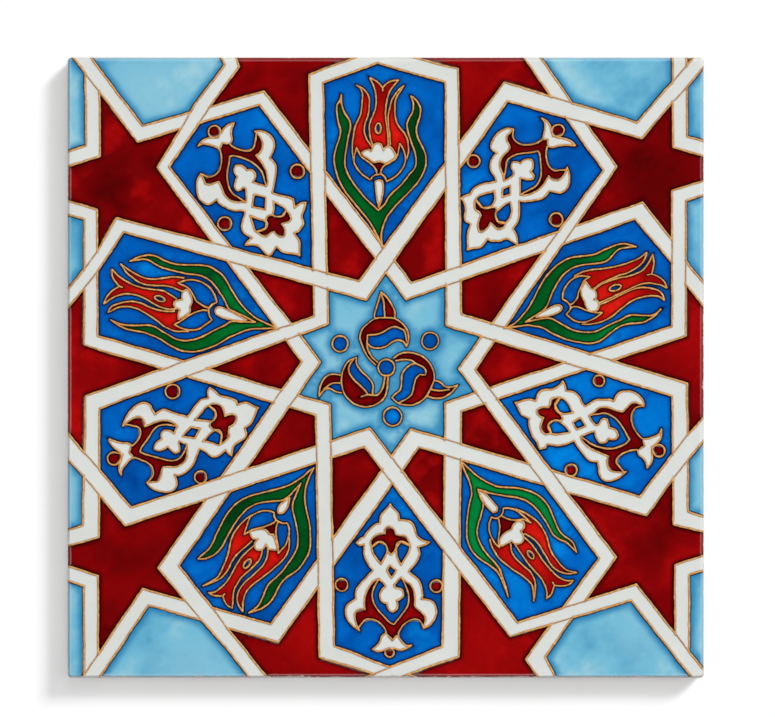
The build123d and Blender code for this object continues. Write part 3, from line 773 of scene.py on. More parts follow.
# %% Key points of the palmettes, each petal turned to hang down
palmette_petals = (270, 342, 54, 126, 198)
palmette_pins = {
    "top tip": ((390.3, 504.1), (391.0, 497.5), (390.8, 504.0), (394.5, 504.5), (388.5, 501.0)),
    "left upper notch": ((379.7, 523.3), (380.3, 516.5), (381.0, 525.8), (386.3, 526.8), (379.1, 520.5)),
    "right upper notch": ((398.9, 520.4), (399.0, 517.0), (403.3, 527.5), (407.9, 525.8), (404.1, 520.8)),
    "left shoulder": ((367.3, 531.3), (364.5, 525.0), (369.0, 531.5), (372.9, 528.3), (369.8, 525.8)),
    "right shoulder": ((412.7, 523.9), (410.5, 519.0), (411.0, 527.5), (420.0, 523.0), (412.9, 522.6)),
    "left barb": ((356.2, 543.4), (354.8, 535.8), (352.9, 537.6), (358.8, 543.9), (354.5, 541.0)),
    "right barb": ((429.6, 542.5), (426.0, 536.4), (426.4, 542.0), (432.6, 545.8), (426.0, 542.0)),
    "left barb root": ((363.9, 544.5), (360.8, 541.5), (367.0, 548.9), (371.0, 546.5), (364.1, 545.8)),
    "right barb root": ((417.9, 547.4), (417.9, 542.0), (421.6, 550.8), (422.3, 547.0), (418.5, 545.0)),
    "left hip": ((363.9, 554.3), (363.3, 552.0), (366.6, 556.4), (366.6, 553.9), (362.9, 553.3)),
    "right hip": ((419.9, 552.6), (419.0, 549.5), (421.6, 557.0), (426.4, 555.8), (422.0, 553.9)),
    "left waist": ((373.1, 570.9), (373.5, 565.5), (377.9, 574.5), (380.6, 572.0), (375.4, 571.4)),
    "right waist": ((408.6, 571.6), (409.5, 565.5), (407.9, 577.0), (412.6, 573.3), (409.1, 569.3)),
    "left lower bulge": ((357.4, 588.2), (360.0, 584.0), (361.6, 588.3), (362.3, 589.5), (361.4, 590.8)),
    "right lower bulge": ((422.2, 590.0), (420.8, 581.0), (423.5, 589.5), (426.6, 588.9), (427.9, 592.0)),
    "left lower notch": ((355.6, 599.1), (360.4, 594.5), (359.1, 600.0), (361.6, 600.8), (363.5, 601.4)),
    "right lower notch": ((421.6, 599.4), (422.3, 591.0), (423.8, 600.5), (428.5, 599.1), (426.0, 601.8)),
    "left hook": ((345.6, 610.0), (345.0, 605.0), (346.6, 610.0), (347.9, 613.3), (348.1, 609.5)),
    "right hook": ((436.1, 611.0), (437.0, 603.0), (434.5, 611.4), (442.0, 608.9), (440.4, 610.8)),
    "left hook tip": ((359.2, 630.3), (359.8, 624.8), (358.8, 630.0), (358.5, 631.8), (364.5, 636.0)),
    "right hook tip": ((423.4, 628.2), (427.3, 621.4), (424.8, 629.5), (427.0, 629.5), (425.6, 630.5)),
    "left red corner": ((364.7, 609.4), (369.0, 603.0), (369.0, 612.3), (371.3, 611.8), (371.6, 615.1)),
    "right red corner": ((415.5, 607.0), (415.0, 602.6), (416.3, 612.6), (416.3, 612.6), (415.0, 610.5)),
    "left arc": ((370.1, 619.1), (368.5, 611.8), (369.8, 619.3), (371.0, 618.9), (372.3, 620.1)),
    "right arc": ((414.0, 619.4), (416.0, 612.3), (411.6, 621.0), (412.9, 619.5), (412.3, 620.5)),
    "fleur V left": ((386.5, 633.0), (384.0, 628.9), (386.9, 635.8), (386.4, 636.4), (386.0, 633.5)),
    "fleur V right": ((398.5, 632.4), (396.3, 628.9), (395.0, 637.0), (397.5, 637.0), (397.9, 634.5)),
    "fleur V foot": ((392.7, 640.5), (390.0, 634.5), (390.4, 641.4), (391.0, 641.4), (391.6, 637.6)),
    "fleur left tip": ((372.5, 649.1), (369.5, 643.9), (364.5, 652.4), (369.8, 651.0), (372.5, 652.4)),
    "fleur right tip": ((411.3, 645.5), (411.4, 644.8), (408.5, 654.9), (412.9, 653.5), (410.4, 652.9)),
    "fleur foot": ((391.4, 648.8), (391.0, 643.0), (388.3, 648.0), (391.0, 650.0), (391.6, 646.0)),
    "trefoil top": ((389.2, 526.5), (391.0, 520.5), (392.3, 526.0), (396.6, 529.5), (391.0, 524.8)),
    "trefoil left notch": ((385.1, 533.3), (385.8, 529.5), (387.9, 540.8), (390.8, 541.4), (386.6, 535.8)),
    "trefoil right notch": ((395.5, 534.2), (397.0, 530.8), (399.8, 540.8), (401.0, 539.5), (397.9, 535.1)),
    "trefoil left end": ((371.2, 545.0), (372.3, 538.9), (375.5, 545.5), (379.1, 547.6), (370.8, 545.5)),
    "trefoil right end": ((410.0, 544.5), (409.5, 538.0), (413.0, 549.5), (415.1, 549.5), (412.0, 548.9)),
    "trefoil foot": ((390.9, 554.9), (390.0, 548.0), (392.5, 555.0), (397.0, 555.5), (391.3, 553.5)),
    "left hole foot": ((381.1, 564.0), (380.0, 559.3), (384.1, 568.5), (384.1, 564.5), (380.4, 566.0)),
    "right hole foot": ((401.2, 565.2), (400.0, 556.0), (403.5, 568.0), (411.3, 566.0), (403.3, 564.3)),
    "left hole outer side": ((375.4, 557.1), (376.0, 551.5), (376.8, 561.0), (381.0, 557.5), (375.5, 556.5)),
    "left hole inner side": ((384.0, 558.3), (385.0, 552.5), (388.0, 562.5), (388.0, 558.0), (384.3, 557.0)),
    "right hole inner side": ((397.2, 557.7), (397.0, 551.0), (397.6, 562.0), (406.0, 558.0), (399.3, 556.5)),
    "right hole outer side": ((407.0, 556.0), (406.0, 549.5), (409.0, 561.0), (414.0, 557.0), (408.0, 556.0)),
    "diamond top": ((390.0, 565.2), (390.6, 558.9), (393.5, 567.6), (395.8, 561.4), (390.6, 563.5)),
    "diamond right": ((396.6, 570.4), (397.6, 565.0), (398.0, 575.0), (404.5, 572.5), (398.0, 571.0)),
    "diamond foot": ((391.5, 577.8), (390.6, 572.3), (393.8, 581.8), (396.0, 581.8), (392.6, 582.3)),
    "diamond left": ((387.0, 570.4), (384.4, 565.0), (388.5, 575.0), (387.5, 572.5), (385.6, 571.5)),
    "U left top": ((379.2, 579.1), (379.1, 570.5), (380.0, 579.5), (381.0, 580.5), (381.4, 583.9)),
    "U right top": ((401.0, 577.3), (401.3, 572.0), (402.0, 582.0), (406.6, 579.5), (401.3, 580.5)),
    "U left": ((371.9, 596.1), (374.8, 588.9), (372.9, 597.6), (376.3, 598.3), (374.8, 602.0)),
    "U right": ((408.8, 600.3), (408.9, 588.9), (411.3, 602.0), (412.0, 600.8), (412.3, 599.5)),
    "U foot": ((394.0, 624.2), (391.0, 617.6), (391.6, 626.0), (392.9, 626.4), (394.1, 627.6)),
    "neck left": ((385.9, 586.4), (388.5, 582.3), (390.8, 594.5), (389.5, 592.0), (387.3, 588.9)),
    "neck right": ((393.7, 585.8), (394.5, 581.0), (397.9, 592.0), (399.1, 591.4), (396.0, 586.4)),
    "quatrefoil left": ((379.8, 596.1), (378.8, 590.8), (379.5, 600.5), (382.5, 597.6), (380.6, 597.0)),
    "quatrefoil right": ((403.4, 594.0), (404.1, 588.9), (405.8, 602.0), (407.3, 597.0), (406.4, 592.0)),
    "quatrefoil foot": ((393.1, 611.5), (391.6, 606.0), (391.6, 615.5), (393.5, 615.8), (396.0, 613.0)),
    "quatrefoil left notch": ((387.0, 603.3), (386.0, 597.6), (385.8, 605.0), (387.3, 605.0), (388.5, 602.6)),
    "quatrefoil right notch": (
        (396.7, 600.9), (396.0, 595.0), (398.3, 606.0), (398.5, 605.8), (397.3, 599.3),
    ),
}
side_dots = {
    270: [((341.6, 584.8), 6.2), ((436.4, 586.4), 6.0)],
    342: [((344.5, 572.0), 5.9), ((437.6, 570.5), 5.6)],
    54: [((336.6, 581.0), 6.6), ((437.9, 580.1), 6.2)],
    126: [((347.0, 574.3), 7.0), ((436.6, 574.5), 6.8)],
    198: [((346.3, 577.6), 7.0), ((437.0, 577.6), 6.0)],
}
foot_dots = {
    270: ((389.5, 653.0), 4.4, None),
    342: ((390.0, 649.3), 5.9, (391.0, 641.6)),
    54: ((387.9, 654.5), 6.0, (388.3, 646.6)),
    126: ((391.0, 655.1), 6.2, (391.0, 648.2)),
    198: ((392.3, 654.5), 6.4, (391.6, 644.6)),
}
print(len(palmette_petals), "palmettes with", len(palmette_pins), "pins each")

# %% [markdown]
# The petals of a tulip are open lines, so their red is closed through a point low on the calyx, which then
# covers it. What lies in front is flooded last.

# %% Pipe and flood the tulips
tulip_front = {"left lobe": "cobalt", "right lobe": "cobalt", "calyx": "white", "bud": "white"}
for petal, parts in tulips.items():
    turn = petal - upright
    heart = parts["calyx"][len(parts["calyx"]) * 5 // 6]
    cell("green", seat(parts["leaves"], turn))
    for name in ("left petal", "middle petal", "right petal"):
        draw(seat(parts[name], turn))
        cell("coral", seat(parts[name] + [heart], turn), ringed=False)
    draw(seat(parts["notch"], turn))
    draw(seat(parts["arc"], turn))
    flood("ruby", seat(parts["arc"] + [parts["right lobe"][-1], parts["left lobe"][-1]], turn))
    cell("cobalt", seat(ring(*parts["eye"]), turn))
    for name, glaze in tulip_front.items():
        cell(glaze, seat(parts[name], turn))
print(len(strokes), "lines with the tulips")

# %% Palmette
white_left = [
    (390.3, 504.1), (387.7, 507.2), (384.0, 511.2), (380.8, 515.2), (380.0, 519.8), (379.7, 523.3),
    (375.9, 523.8), (371.4, 527.3), (367.3, 531.3), (363.9, 536.5), (359.9, 539.3), (356.2, 543.4),
    (359.3, 545.4), (363.9, 544.5), (363.9, 550.2), (363.9, 554.3), (366.2, 560.6), (369.6, 566.3),
    (373.1, 570.9), (368.5, 575.5), (366.5, 577.9), (361.6, 583.3), (357.4, 588.2), (355.6, 592.4),
    (355.6, 599.1), (351.9, 601.5), (347.7, 604.5), (345.6, 610.0), (346.2, 616.1), (348.9, 621.5),
    (353.2, 626.4), (359.2, 630.3),
]
lower_left_arc = [
    (359.2, 630.3), (358.0, 627.6), (362.8, 622.1), (365.3, 619.4), (370.1, 619.1), (375.6, 620.3),
    (381.0, 623.9), (384.7, 628.2), (386.5, 633.0),
]
fleur = [
    (386.5, 633.0), (382.2, 636.1), (380.4, 641.5), (377.4, 645.8), (372.5, 649.1), (377.4, 651.2),
    (382.8, 650.9), (388.5, 648.9), (394.3, 648.8), (400.4, 650.0), (406.4, 648.2), (411.3, 645.5),
    (406.4, 645.8), (402.2, 642.1), (399.2, 637.3), (398.5, 632.4),
]
lower_right_arc = [
    (398.5, 632.4), (402.2, 626.4), (407.0, 622.1), (411.9, 619.7), (417.3, 619.4), (421.0, 622.1),
    (423.4, 628.2),
]
white_right = [
    (423.4, 628.2), (428.8, 625.8), (433.1, 620.9), (436.1, 614.8), (436.1, 608.8), (433.7, 603.3),
    (429.5, 600.3), (421.6, 599.4), (422.8, 596.1), (422.2, 590.0), (420.4, 583.3), (417.3, 578.5),
    (412.5, 574.8), (408.6, 571.6), (411.6, 567.5), (416.1, 562.9), (419.0, 557.7), (419.9, 552.6),
    (417.9, 547.4), (421.9, 546.3), (426.5, 544.5), (429.6, 542.5), (425.3, 541.7), (420.7, 539.4),
    (417.3, 535.9), (415.6, 531.3), (414.4, 527.3), (412.7, 523.9), (408.7, 521.3), (404.1, 520.4),
    (398.9, 520.4), (398.4, 514.7), (395.5, 510.7), (391.5, 506.6), (390.3, 504.1),
]
fleur_v = [(388.2, 635.5), (392.7, 640.5), (396.7, 635.5)]
trefoil = [
    (384.6, 530.2), (386.8, 527.0), (389.2, 526.5), (392.6, 527.9), (394.9, 531.3), (395.5, 534.2),
    (399.5, 535.4), (404.1, 535.4), (407.5, 538.2), (409.8, 542.8), (410.1, 545.1), (405.2, 542.2),
    (400.6, 541.1), (396.6, 543.4), (395.5, 547.4), (394.3, 551.4), (390.9, 554.9), (387.4, 551.4),
    (386.3, 546.8), (382.8, 542.2), (378.8, 541.6), (375.4, 543.4), (371.9, 546.8), (370.2, 542.8),
    (372.5, 537.6), (376.5, 534.5), (381.1, 533.6), (385.1, 533.3),
]
left_hole = [
    (378.8, 541.9), (371.6, 547.4), (372.5, 552.0), (375.4, 557.1), (378.8, 561.7), (381.1, 564.0),
    (384.0, 558.3), (386.6, 552.5), (386.8, 547.9), (384.0, 543.9),
]
right_hole = [
    (400.6, 541.7), (410.4, 545.7), (409.8, 550.3), (407.0, 556.0), (403.5, 561.2), (401.2, 565.2),
    (397.2, 557.7), (396.1, 552.6), (396.1, 547.4),
]
diamond = [(390.0, 565.2), (396.6, 570.4), (391.5, 577.8), (387.0, 570.4)]
lower_u = [
    (379.2, 579.1), (376.2, 583.9), (373.2, 590.0), (371.9, 596.1), (373.2, 602.7), (376.8, 608.8),
    (382.2, 614.8), (388.8, 621.5), (394.0, 624.2), (397.9, 619.1), (402.8, 613.0), (407.0, 607.0),
    (408.8, 600.3), (408.2, 593.0), (405.8, 586.4), (403.4, 580.9), (401.0, 577.3), (397.3, 580.9),
    (393.7, 585.8), (395.5, 588.2), (399.8, 588.8), (402.8, 591.2), (403.4, 596.1), (400.4, 599.1),
    (396.7, 600.9), (397.6, 604.5), (396.7, 608.8), (393.1, 611.5), (390.1, 610.6), (387.6, 607.6),
    (387.0, 603.3), (384.0, 602.7), (381.6, 600.9), (379.8, 596.1), (381.6, 590.6), (385.9, 586.4),
    (383.5, 583.3),
]
quatrefoil = lower_u[18:] + [(379.2, 579.1), (380.0, 574.5), (400.5, 574.0), (401.0, 577.3), (397.3, 580.9)]
red_left = [
    (379.2, 579.1), (375.0, 580.9), (370.7, 585.2), (367.1, 591.2), (364.7, 598.5), (364.1, 604.5),
    (364.7, 609.4), (360.4, 608.8), (356.8, 610.6), (354.7, 614.2), (355.0, 619.7), (356.8, 626.4),
    (359.2, 630.3),
]
red_right = [
    (401.0, 577.3), (406.4, 581.5), (410.7, 584.5), (413.7, 590.6), (414.9, 597.3), (414.9, 603.9),
    (415.5, 607.0), (419.2, 610.0), (423.4, 613.6), (425.8, 618.5), (424.6, 623.3), (423.4, 628.2),
]
red_body = red_left + lower_left_arc[1:] + [(392.7, 640.5)] + lower_right_arc + red_right[::-1][1:]
palmette_lines = [lower_left_arc, lower_right_arc, fleur_v, red_left, red_right]
palmette_cells = [
    ("white", white_left + lower_left_arc[1:] + fleur[1:] + lower_right_arc[1:] + white_right[1:-1], True),
    ("ruby", red_body, False),
    ("white", quatrefoil, False),
    ("cobalt", lower_u, True),
    ("ruby", trefoil, True),
    ("cobalt", left_hole, True),
    ("cobalt", right_hole, True),
    ("cobalt", diamond, True),
]
peak_first = 8
peak_last = 10
for number, petal in enumerate(palmette_petals):
    turn = petal - hanging
    for line in palmette_lines:
        draw(seat(pulled(line, palmette_pins, number), turn))
    for glaze, outline, ringed in palmette_cells:
        cell(glaze, seat(pulled(outline, palmette_pins, number), turn), ringed)
    dots = [ring(middle, reach) for middle, reach in side_dots[petal]]
    middle, reach, peak = foot_dots[petal]
    foot = ring(middle, reach)
    dots.append(foot if peak is None else foot[:peak_first] + [peak] + foot[peak_last + 1 :])
    for outline in dots:
        cell("ruby", seat(outline, turn))
print(len(strokes), "lines with the palmettes")

# %% [markdown]
# ## The whirl in the middle
# Three curled leaves turn round a ring, each with a split spike on its back, and three ringed dots lie
# between them.

# %% Whirl
leaf_one_outer = [
    (375.3, 365.0), (367.6, 356.7), (362.5, 346.5), (360.0, 337.6), (362.5, 328.7), (368.9, 322.3),
    (375.3, 318.5), (385.5, 317.8), (395.7, 319.1), (403.3, 324.8), (407.8, 332.5), (408.4, 340.2),
    (406.5, 346.5),
]
leaf_one_lower = [
    (406.5, 346.5), (403.3, 342.1), (398.2, 340.2), (391.9, 342.1), (385.5, 346.5), (377.8, 348.4),
    (371.5, 347.2), (367.6, 344.0),
]
leaf_one_tail = [(367.6, 335.1), (367.0, 344.0), (367.9, 350.0), (371.5, 356.7), (377.2, 362.5)]
leaf_one_comma = [
    (367.6, 335.1), (375.3, 334.4), (381.7, 332.5), (388.0, 328.7), (394.4, 326.8), (400.8, 329.3),
    (404.6, 331.9), (406.5, 341.4),
]
spike_one_left = [(375.3, 318.5), (374.6, 314.6), (377.8, 304.4), (381.0, 291.7)]
spike_one_right = [(381.0, 291.7), (386.8, 296.8), (391.9, 304.4), (395.1, 312.1), (394.4, 318.5)]
spike_one_middle = [(381.5, 294.2), (384.2, 303.2), (384.9, 317.2)]
leaf_two_outer = [
    (393.1, 358.0), (400.8, 353.5), (409.7, 352.3), (419.9, 354.8), (427.6, 360.6), (432.7, 369.5),
    (434.0, 379.7), (430.1, 389.9), (425.0, 397.6), (417.4, 403.3), (408.4, 405.2), (398.2, 403.3),
    (391.9, 397.6),
]
leaf_two_blue = [
    (391.9, 397.6), (395.7, 393.7), (400.2, 389.9), (401.4, 382.2), (402.1, 374.6), (405.9, 368.2),
    (412.3, 363.8), (416.1, 363.8),
]
leaf_two_tail = [
    (395.7, 360.6), (403.3, 359.3), (411.0, 359.9), (416.1, 363.8), (422.5, 366.9), (425.7, 370.8),
    (425.0, 375.2),
]
leaf_two_split = [
    (425.0, 375.2), (419.9, 374.6), (415.5, 379.7), (413.6, 387.3), (411.0, 395.0), (404.6, 400.1),
    (398.2, 403.3),
]
spike_two_upper = [(434.0, 380.3), (439.1, 381.6), (445.4, 386.7), (451.8, 387.3), (457.6, 385.4)]
spike_two_lower = [(457.6, 385.4), (451.8, 392.4), (444.2, 396.9), (435.2, 398.2), (427.6, 396.3)]
spike_two_middle = [(430.8, 389.3), (439.1, 390.5), (449.5, 389.5)]
leaf_three_outer = [
    (388.0, 375.9), (387.4, 387.3), (384.2, 397.6), (375.3, 404.6), (363.8, 407.1), (353.6, 403.9),
    (345.9, 396.3), (342.1, 387.3), (341.5, 377.1), (343.4, 369.5), (348.5, 361.8), (356.8, 357.4),
]
leaf_three_blue = [
    (356.8, 357.4), (356.8, 364.4), (361.3, 371.4), (367.6, 377.1), (372.7, 383.5), (372.7, 393.7),
]
leaf_three_split = [
    (354.0, 359.5), (351.1, 363.1), (348.5, 370.8), (352.3, 378.4), (358.7, 384.8), (365.1, 390.5),
    (367.5, 394.5),
]
leaf_three_hook = [
    (361.3, 396.9), (367.5, 394.5), (372.7, 394.9), (377.8, 394.4), (382.9, 387.3), (384.9, 377.1),
]
spike_three_upper = [(340.8, 375.2), (330.6, 374.0), (324.3, 378.4), (320.4, 386.1), (319.2, 396.3)]
spike_three_lower = [(319.2, 396.3), (324.3, 389.9), (329.4, 388.6), (335.7, 391.8), (341.5, 393.1)]
spike_three_middle = [(340.2, 382.9), (331.9, 383.5), (323.5, 389.3)]
whirl_lines = [
    leaf_one_outer, leaf_one_lower, leaf_one_tail, leaf_one_comma, spike_one_left, spike_one_right,
    spike_one_middle, leaf_two_outer, leaf_two_blue, leaf_two_tail, leaf_two_split, spike_two_upper,
    spike_two_lower, spike_two_middle, leaf_three_outer, leaf_three_blue, leaf_three_split,
    leaf_three_hook, spike_three_upper, spike_three_lower, spike_three_middle,
]
whirl_cells = [
    ("ruby", leaf_one_outer + leaf_one_comma[::-1] + leaf_one_tail, False),
    ("cobalt", leaf_one_comma + leaf_one_lower, False),
    ("cobalt", spike_one_left + spike_one_middle, False),
    ("ruby", spike_one_right + spike_one_middle[::-1], False),
    ("ruby", leaf_two_outer + leaf_two_split[::-1] + leaf_two_tail[::-1], False),
    ("cobalt", leaf_two_blue + leaf_two_tail[3:] + leaf_two_split, False),
    ("cobalt", spike_two_upper + spike_two_middle[::-1], False),
    ("ruby", spike_two_lower + spike_two_middle, False),
    ("ruby", leaf_three_outer + leaf_three_split + leaf_three_hook, False),
    ("cobalt", leaf_three_blue + leaf_three_split[::-1], False),
    ("ruby", spike_three_upper + spike_three_middle[::-1], False),
    ("cobalt", spike_three_lower + spike_three_middle, False),
    ("cobalt", ring((386.1, 367.6), 8.2), True),
    ("cobalt", ring((340.2, 344.0), 7.9), True),
    ("cobalt", ring((430.1, 341.0), 8.5), True),
    ("cobalt", ring((392.5, 416.7), 9.2), True),
]
for line in whirl_lines:
    draw(on_tile(line))
for glaze, outline, ringed in whirl_cells:
    cell(glaze, on_tile(outline), ringed)
print(len(strokes), "lines in all,", len(fills), "floods in all")

# %% [markdown]
# ## A hand that isn't quite steady
# Piped lines wander a little and swell where the hand slows. A smooth noise over the face moves each
# sample and changes its width, and the same spot always gets the same shift. The noise has a set seed, or it
# would differ from run to run.

# %% Wander and swell
wander_far = 0.2
wander_near = 0.09
far_size = 7
near_size = 1.6
far_layer = 1.7
near_layer = 5.3
swell = 0.34
swell_share = 0.6
noise.seed_set(11)


def wandered(path, widths):
    """A line as a hand would pipe it."""
    moved = []
    swollen = []
    for (x, y), half in zip(path, widths):
        slow = noise.noise_vector(Vector((x / far_size, y / far_size, far_layer)))
        quick = noise.noise_vector(Vector((x / near_size, y / near_size, near_layer)))
        far_x = x + wander_far * slow.x
        far_y = y + wander_far * slow.y
        moved.append((far_x + wander_near * quick.x, far_y + wander_near * quick.y))
        swollen.append(half * (1 + swell * (swell_share * quick.z + swell_share * slow.z)))
    return np.array(moved), np.array(swollen)


strokes = [wandered(*stroke) for stroke in strokes]
print("longest line, samples:", max(len(path) for path, _ in strokes))

# %% [markdown]
# ## One flat map
# The lines' middles and both their sides, and the outline of the face, become edges of one triangulated
# map, so no colour ever crosses a line. Rows of loose points beside the lines carry the glaze's curved
# shore, and a jittered grid fills the rest.

# %% How far a point is from the nearest line
line_tree = kdtree.KDTree(sum(len(path) for path, _ in strokes))
starts = []
stops = []
start_half = []
stop_half = []
for path, widths in strokes:
    for i in range(len(path)):
        j = min(i + 1, len(path) - 1)
        line_tree.insert((path[i][0], path[i][1], 0.0), len(starts))
        starts.append(path[i])
        stops.append(path[j])
        start_half.append(widths[i])
        stop_half.append(widths[j])
line_tree.balance()
starts = np.array(starts)
stops = np.array(stops)
start_half = np.array(start_half)
stop_half = np.array(stop_half)
near_count = 7
longest_step = 2.0


def shore(points):
    """Distance from the nearest line's side, negative on the line, that line's half width and its sample."""
    points = np.asarray(points, float)
    found = np.array([[hit[1] for hit in line_tree.find_n((x, y, 0.0), near_count)] for x, y in points])
    found = np.stack([found, np.maximum(found - 1, 0)], axis=2).reshape(len(points), -1)
    along = stops[found] - starts[found]
    from_start = points[:, None, :] - starts[found]
    length = np.maximum((along**2).sum(-1), 1e-9)
    share = np.clip((from_start * along).sum(-1) / length, 0, 1)
    apart = from_start - share[..., None] * along
    half = start_half[found] + share * (stop_half[found] - start_half[found])
    gap = np.hypot(apart[..., 0], apart[..., 1]) - half
    gap[length > longest_step**2] = np.inf
    best = gap.argmin(1)
    rows = np.arange(len(points))
    return gap[rows, best], half[rows, best], found[rows, best]


def from_edge(points):
    """Distance in from the rounded outline of the face."""
    points = np.asarray(points, float)
    reach = np.array((face_width / 2 - corner_radius, face_height / 2 - corner_radius))
    over = np.abs(points) - reach
    outside = np.hypot(*np.maximum(over, 0).T)
    return corner_radius - outside - np.minimum(over.max(1), 0)


print(len(starts), "samples on the lines")

# %% Points and edges of the map
map_points = []
map_edges = []


def add_chain(chain, closed=False):
    """Adds a row of points joined by edges."""
    base = len(map_points)
    map_points.extend(map(tuple, chain))
    map_edges.extend((base + i, base + i + 1) for i in range(len(chain) - 1))
    if closed:
        map_edges.append((base + len(chain) - 1, base))


loose = []
shore_rows = (0.3, 0.85)
for path, widths in strokes:
    ways = np.gradient(path, axis=0)
    ways /= np.maximum(np.hypot(*ways.T), 1e-9)[:, None]
    sides = np.column_stack([-ways[:, 1], ways[:, 0]])
    cap_start = path[:1] - ways[:1] * widths[0]
    cap_stop = path[-1:] + ways[-1:] * widths[-1]
    add_chain(np.vstack([cap_start, path, cap_stop]))
    left_side = path + sides * widths[:, None]
    right_side = path - sides * widths[:, None]
    add_chain(np.vstack([cap_start, left_side, cap_stop, right_side[::-1]]), closed=True)
    for row in shore_rows:
        for sign in (1, -1):
            loose.append(path + sign * sides * (widths + row)[:, None])


outline_step = 0.5
corner_points = 7
least_radius = 0.05


def face_outline(inset):
    """The rounded outline of the face, set in."""
    radius = max(corner_radius - inset, least_radius)
    reach = np.array((face_width / 2 - inset - radius, face_height / 2 - inset - radius))
    out = []
    for turn, sign in ((0, (1, 1)), (90, (-1, 1)), (180, (-1, -1)), (270, (1, -1))):
        for angle in np.radians(np.linspace(turn, turn + 90, corner_points)):
            out.append(reach * sign + radius * np.array((math.cos(angle), math.sin(angle))))
    out = np.array(out)
    return sampled(np.vstack([out, out[:1]]), outline_step)[:-1]


edge_insets = (0.0, 0.12, 0.32, 0.6, 0.95, 1.35, 1.8)
for inset in edge_insets:
    add_chain(face_outline(inset), closed=True)
random.seed(11)
grid_step = 1.9
jitter = 0.5
edge_band = 1.9
line_clearance = 0.22
across = np.arange(-face_width / 2, face_width / 2, grid_step)
upward = np.arange(-face_height / 2, face_height / 2, grid_step)
loose.append(np.array([
    (x + random.uniform(-jitter, jitter), y + random.uniform(-jitter, jitter)) for x in across for y in upward
]))
loose = np.vstack(loose)
loose = loose[from_edge(loose) > edge_band]
gap, _, _ = shore(loose)
loose = loose[gap > line_clearance]
map_points.extend(map(tuple, loose))
print(len(map_points), "points and", len(map_edges), "edges go into the map")

# %% Triangulate and name every triangle's glaze
merge_distance = 1e-5
map_points = [Vector(point) for point in map_points]
spots, _, triangles, _, _, _ = delaunay_2d_cdt(map_points, map_edges, [], 0, merge_distance, False)
spots = np.array([tuple(v) for v in spots])
triangles = np.array([t for t in triangles if len(t) == 3])
centres = spots[triangles].mean(1)
kept = from_edge(centres) > 0
triangles = triangles[kept]
centres = centres[kept]
glazes = ["ruby", "cobalt", "turquoise", "white", "coral", "green", "strap_gold", "motif_gold", "biscuit"]


def glaze_at(points):
    """The glaze on top at each point, as a number."""
    top = np.zeros(len(points), int)
    for glaze, outline in fills:
        low = outline.min(0)
        high = outline.max(0)
        near = np.flatnonzero(np.all((points > low) & (points < high), axis=1))
        hit = near[inside(points[near], outline)]
        top[hit] = glazes.index(glaze)
    return top


centre_gap, _, centre_sample = shore(centres)
kind = glaze_at(centres)
strap_samples = sum(len(path) for path, _ in strokes[:strap_strokes])
line_kind = np.where(centre_sample < strap_samples, glazes.index("strap_gold"), glazes.index("motif_gold"))
kind = np.where(centre_gap < 0, line_kind, kind)
print(len(spots), "points,", len(triangles), "triangles:", np.bincount(kind, minlength=len(glazes)))

# %% [markdown]
# ## Heights
# The lines stand proud with a round back, up to the full thickness of the tile. Coloured glaze lies lower
# and climbs a little at its shore, white lies nearly level with its lines. All of it rolls off at the edge.

# %% Height of every point of the map
crest = thickness
shore_level = 7.74
colour_level = 7.67
white_level = 7.73
climb_reach = 0.6
ripple_size = 9
ripple_layer = 8.1
ripple_height = 0.015
least_proud = 0.55
crest_gap = 0.02
spot_gap, spot_half, _ = shore(spots)
spot_kind = glaze_at(spots)
pool = np.where(spot_kind == glazes.index("white"), white_level, colour_level)
ripple = np.array([noise.noise(Vector((x / ripple_size, y / ripple_size, ripple_layer))) for x, y in spots])
climb = np.exp(-np.maximum(spot_gap, 0) / climb_reach)
level = pool + (shore_level - pool) * climb + ripple_height * ripple
rise = np.clip(-spot_gap / np.maximum(spot_half, 1e-6), 0, 1)
rounded = np.sqrt(1 - (1 - rise) ** 2)
proud = np.clip(spot_half / (line_width / 2), least_proud, 1.0)
on_line = shore_level + (crest - crest_gap - shore_level) * proud * rounded
height = np.where(spot_gap < 0, on_line, level)
spot_brim = from_edge(spots)
rim = np.clip(spot_brim, 0, arris_radius)
height -= arris_radius - np.sqrt(np.maximum(arris_radius**2 - (arris_radius - rim) ** 2, 0))
height = np.minimum(height, crest)
print("heights from", height.min().round(2), "to", height.max().round(2), "mm")

# %% [markdown]
# ## Worn edge
# The arris is worn through to the pale body in specks, most of all along the lower edge, and a few longer
# chips are knocked out. The chips are written where the photograph has them, in its pixels: side, middle
# along it, half length and depth.

# %% Wear
wear_depth = 0.1
wear_change = 0.3
low_edge_wear = 0.32
chips = [
    ("low", 199.0, 6.5, 2.0), ("low", 218.0, 3.0, 2.0), ("low", 276.0, 4.0, 1.4), ("low", 290.0, 5.0, 2.0),
    ("low", 301.0, 4.5, 2.2), ("low", 352.0, 3.0, 1.4), ("low", 379.5, 3.0, 2.6), ("low", 393.5, 8.0, 3.2),
    ("low", 425.0, 4.0, 1.0), ("low", 463.0, 5.0, 1.0), ("low", 494.0, 4.0, 1.6), ("low", 556.0, 4.0, 1.6),
    ("low", 640.0, 6.0, 1.0), ("right", 318.0, 4.0, 1.3), ("right", 340.0, 6.0, 1.2),
    ("right", 385.0, 6.0, 1.2), ("right", 568.0, 4.0, 1.2), ("right", 594.0, 4.0, 1.2),
    ("top", 400.0, 5.0, 1.2), ("left", 100.0, 4.0, 1.0),
]
grain_size = 0.7
grain_layer = 2.2
grain_share = 0.8
drift_size = 12
drift_layer = 4.4
drift_share = 0.4
edge_zone = 3
edge_in = from_edge(centres)
grain = np.array([noise.noise(Vector((x / grain_size, y / grain_size, grain_layer))) for x, y in centres])
drift = np.array([noise.noise(Vector((x / drift_size, y / drift_size, drift_layer))) for x, y in centres])
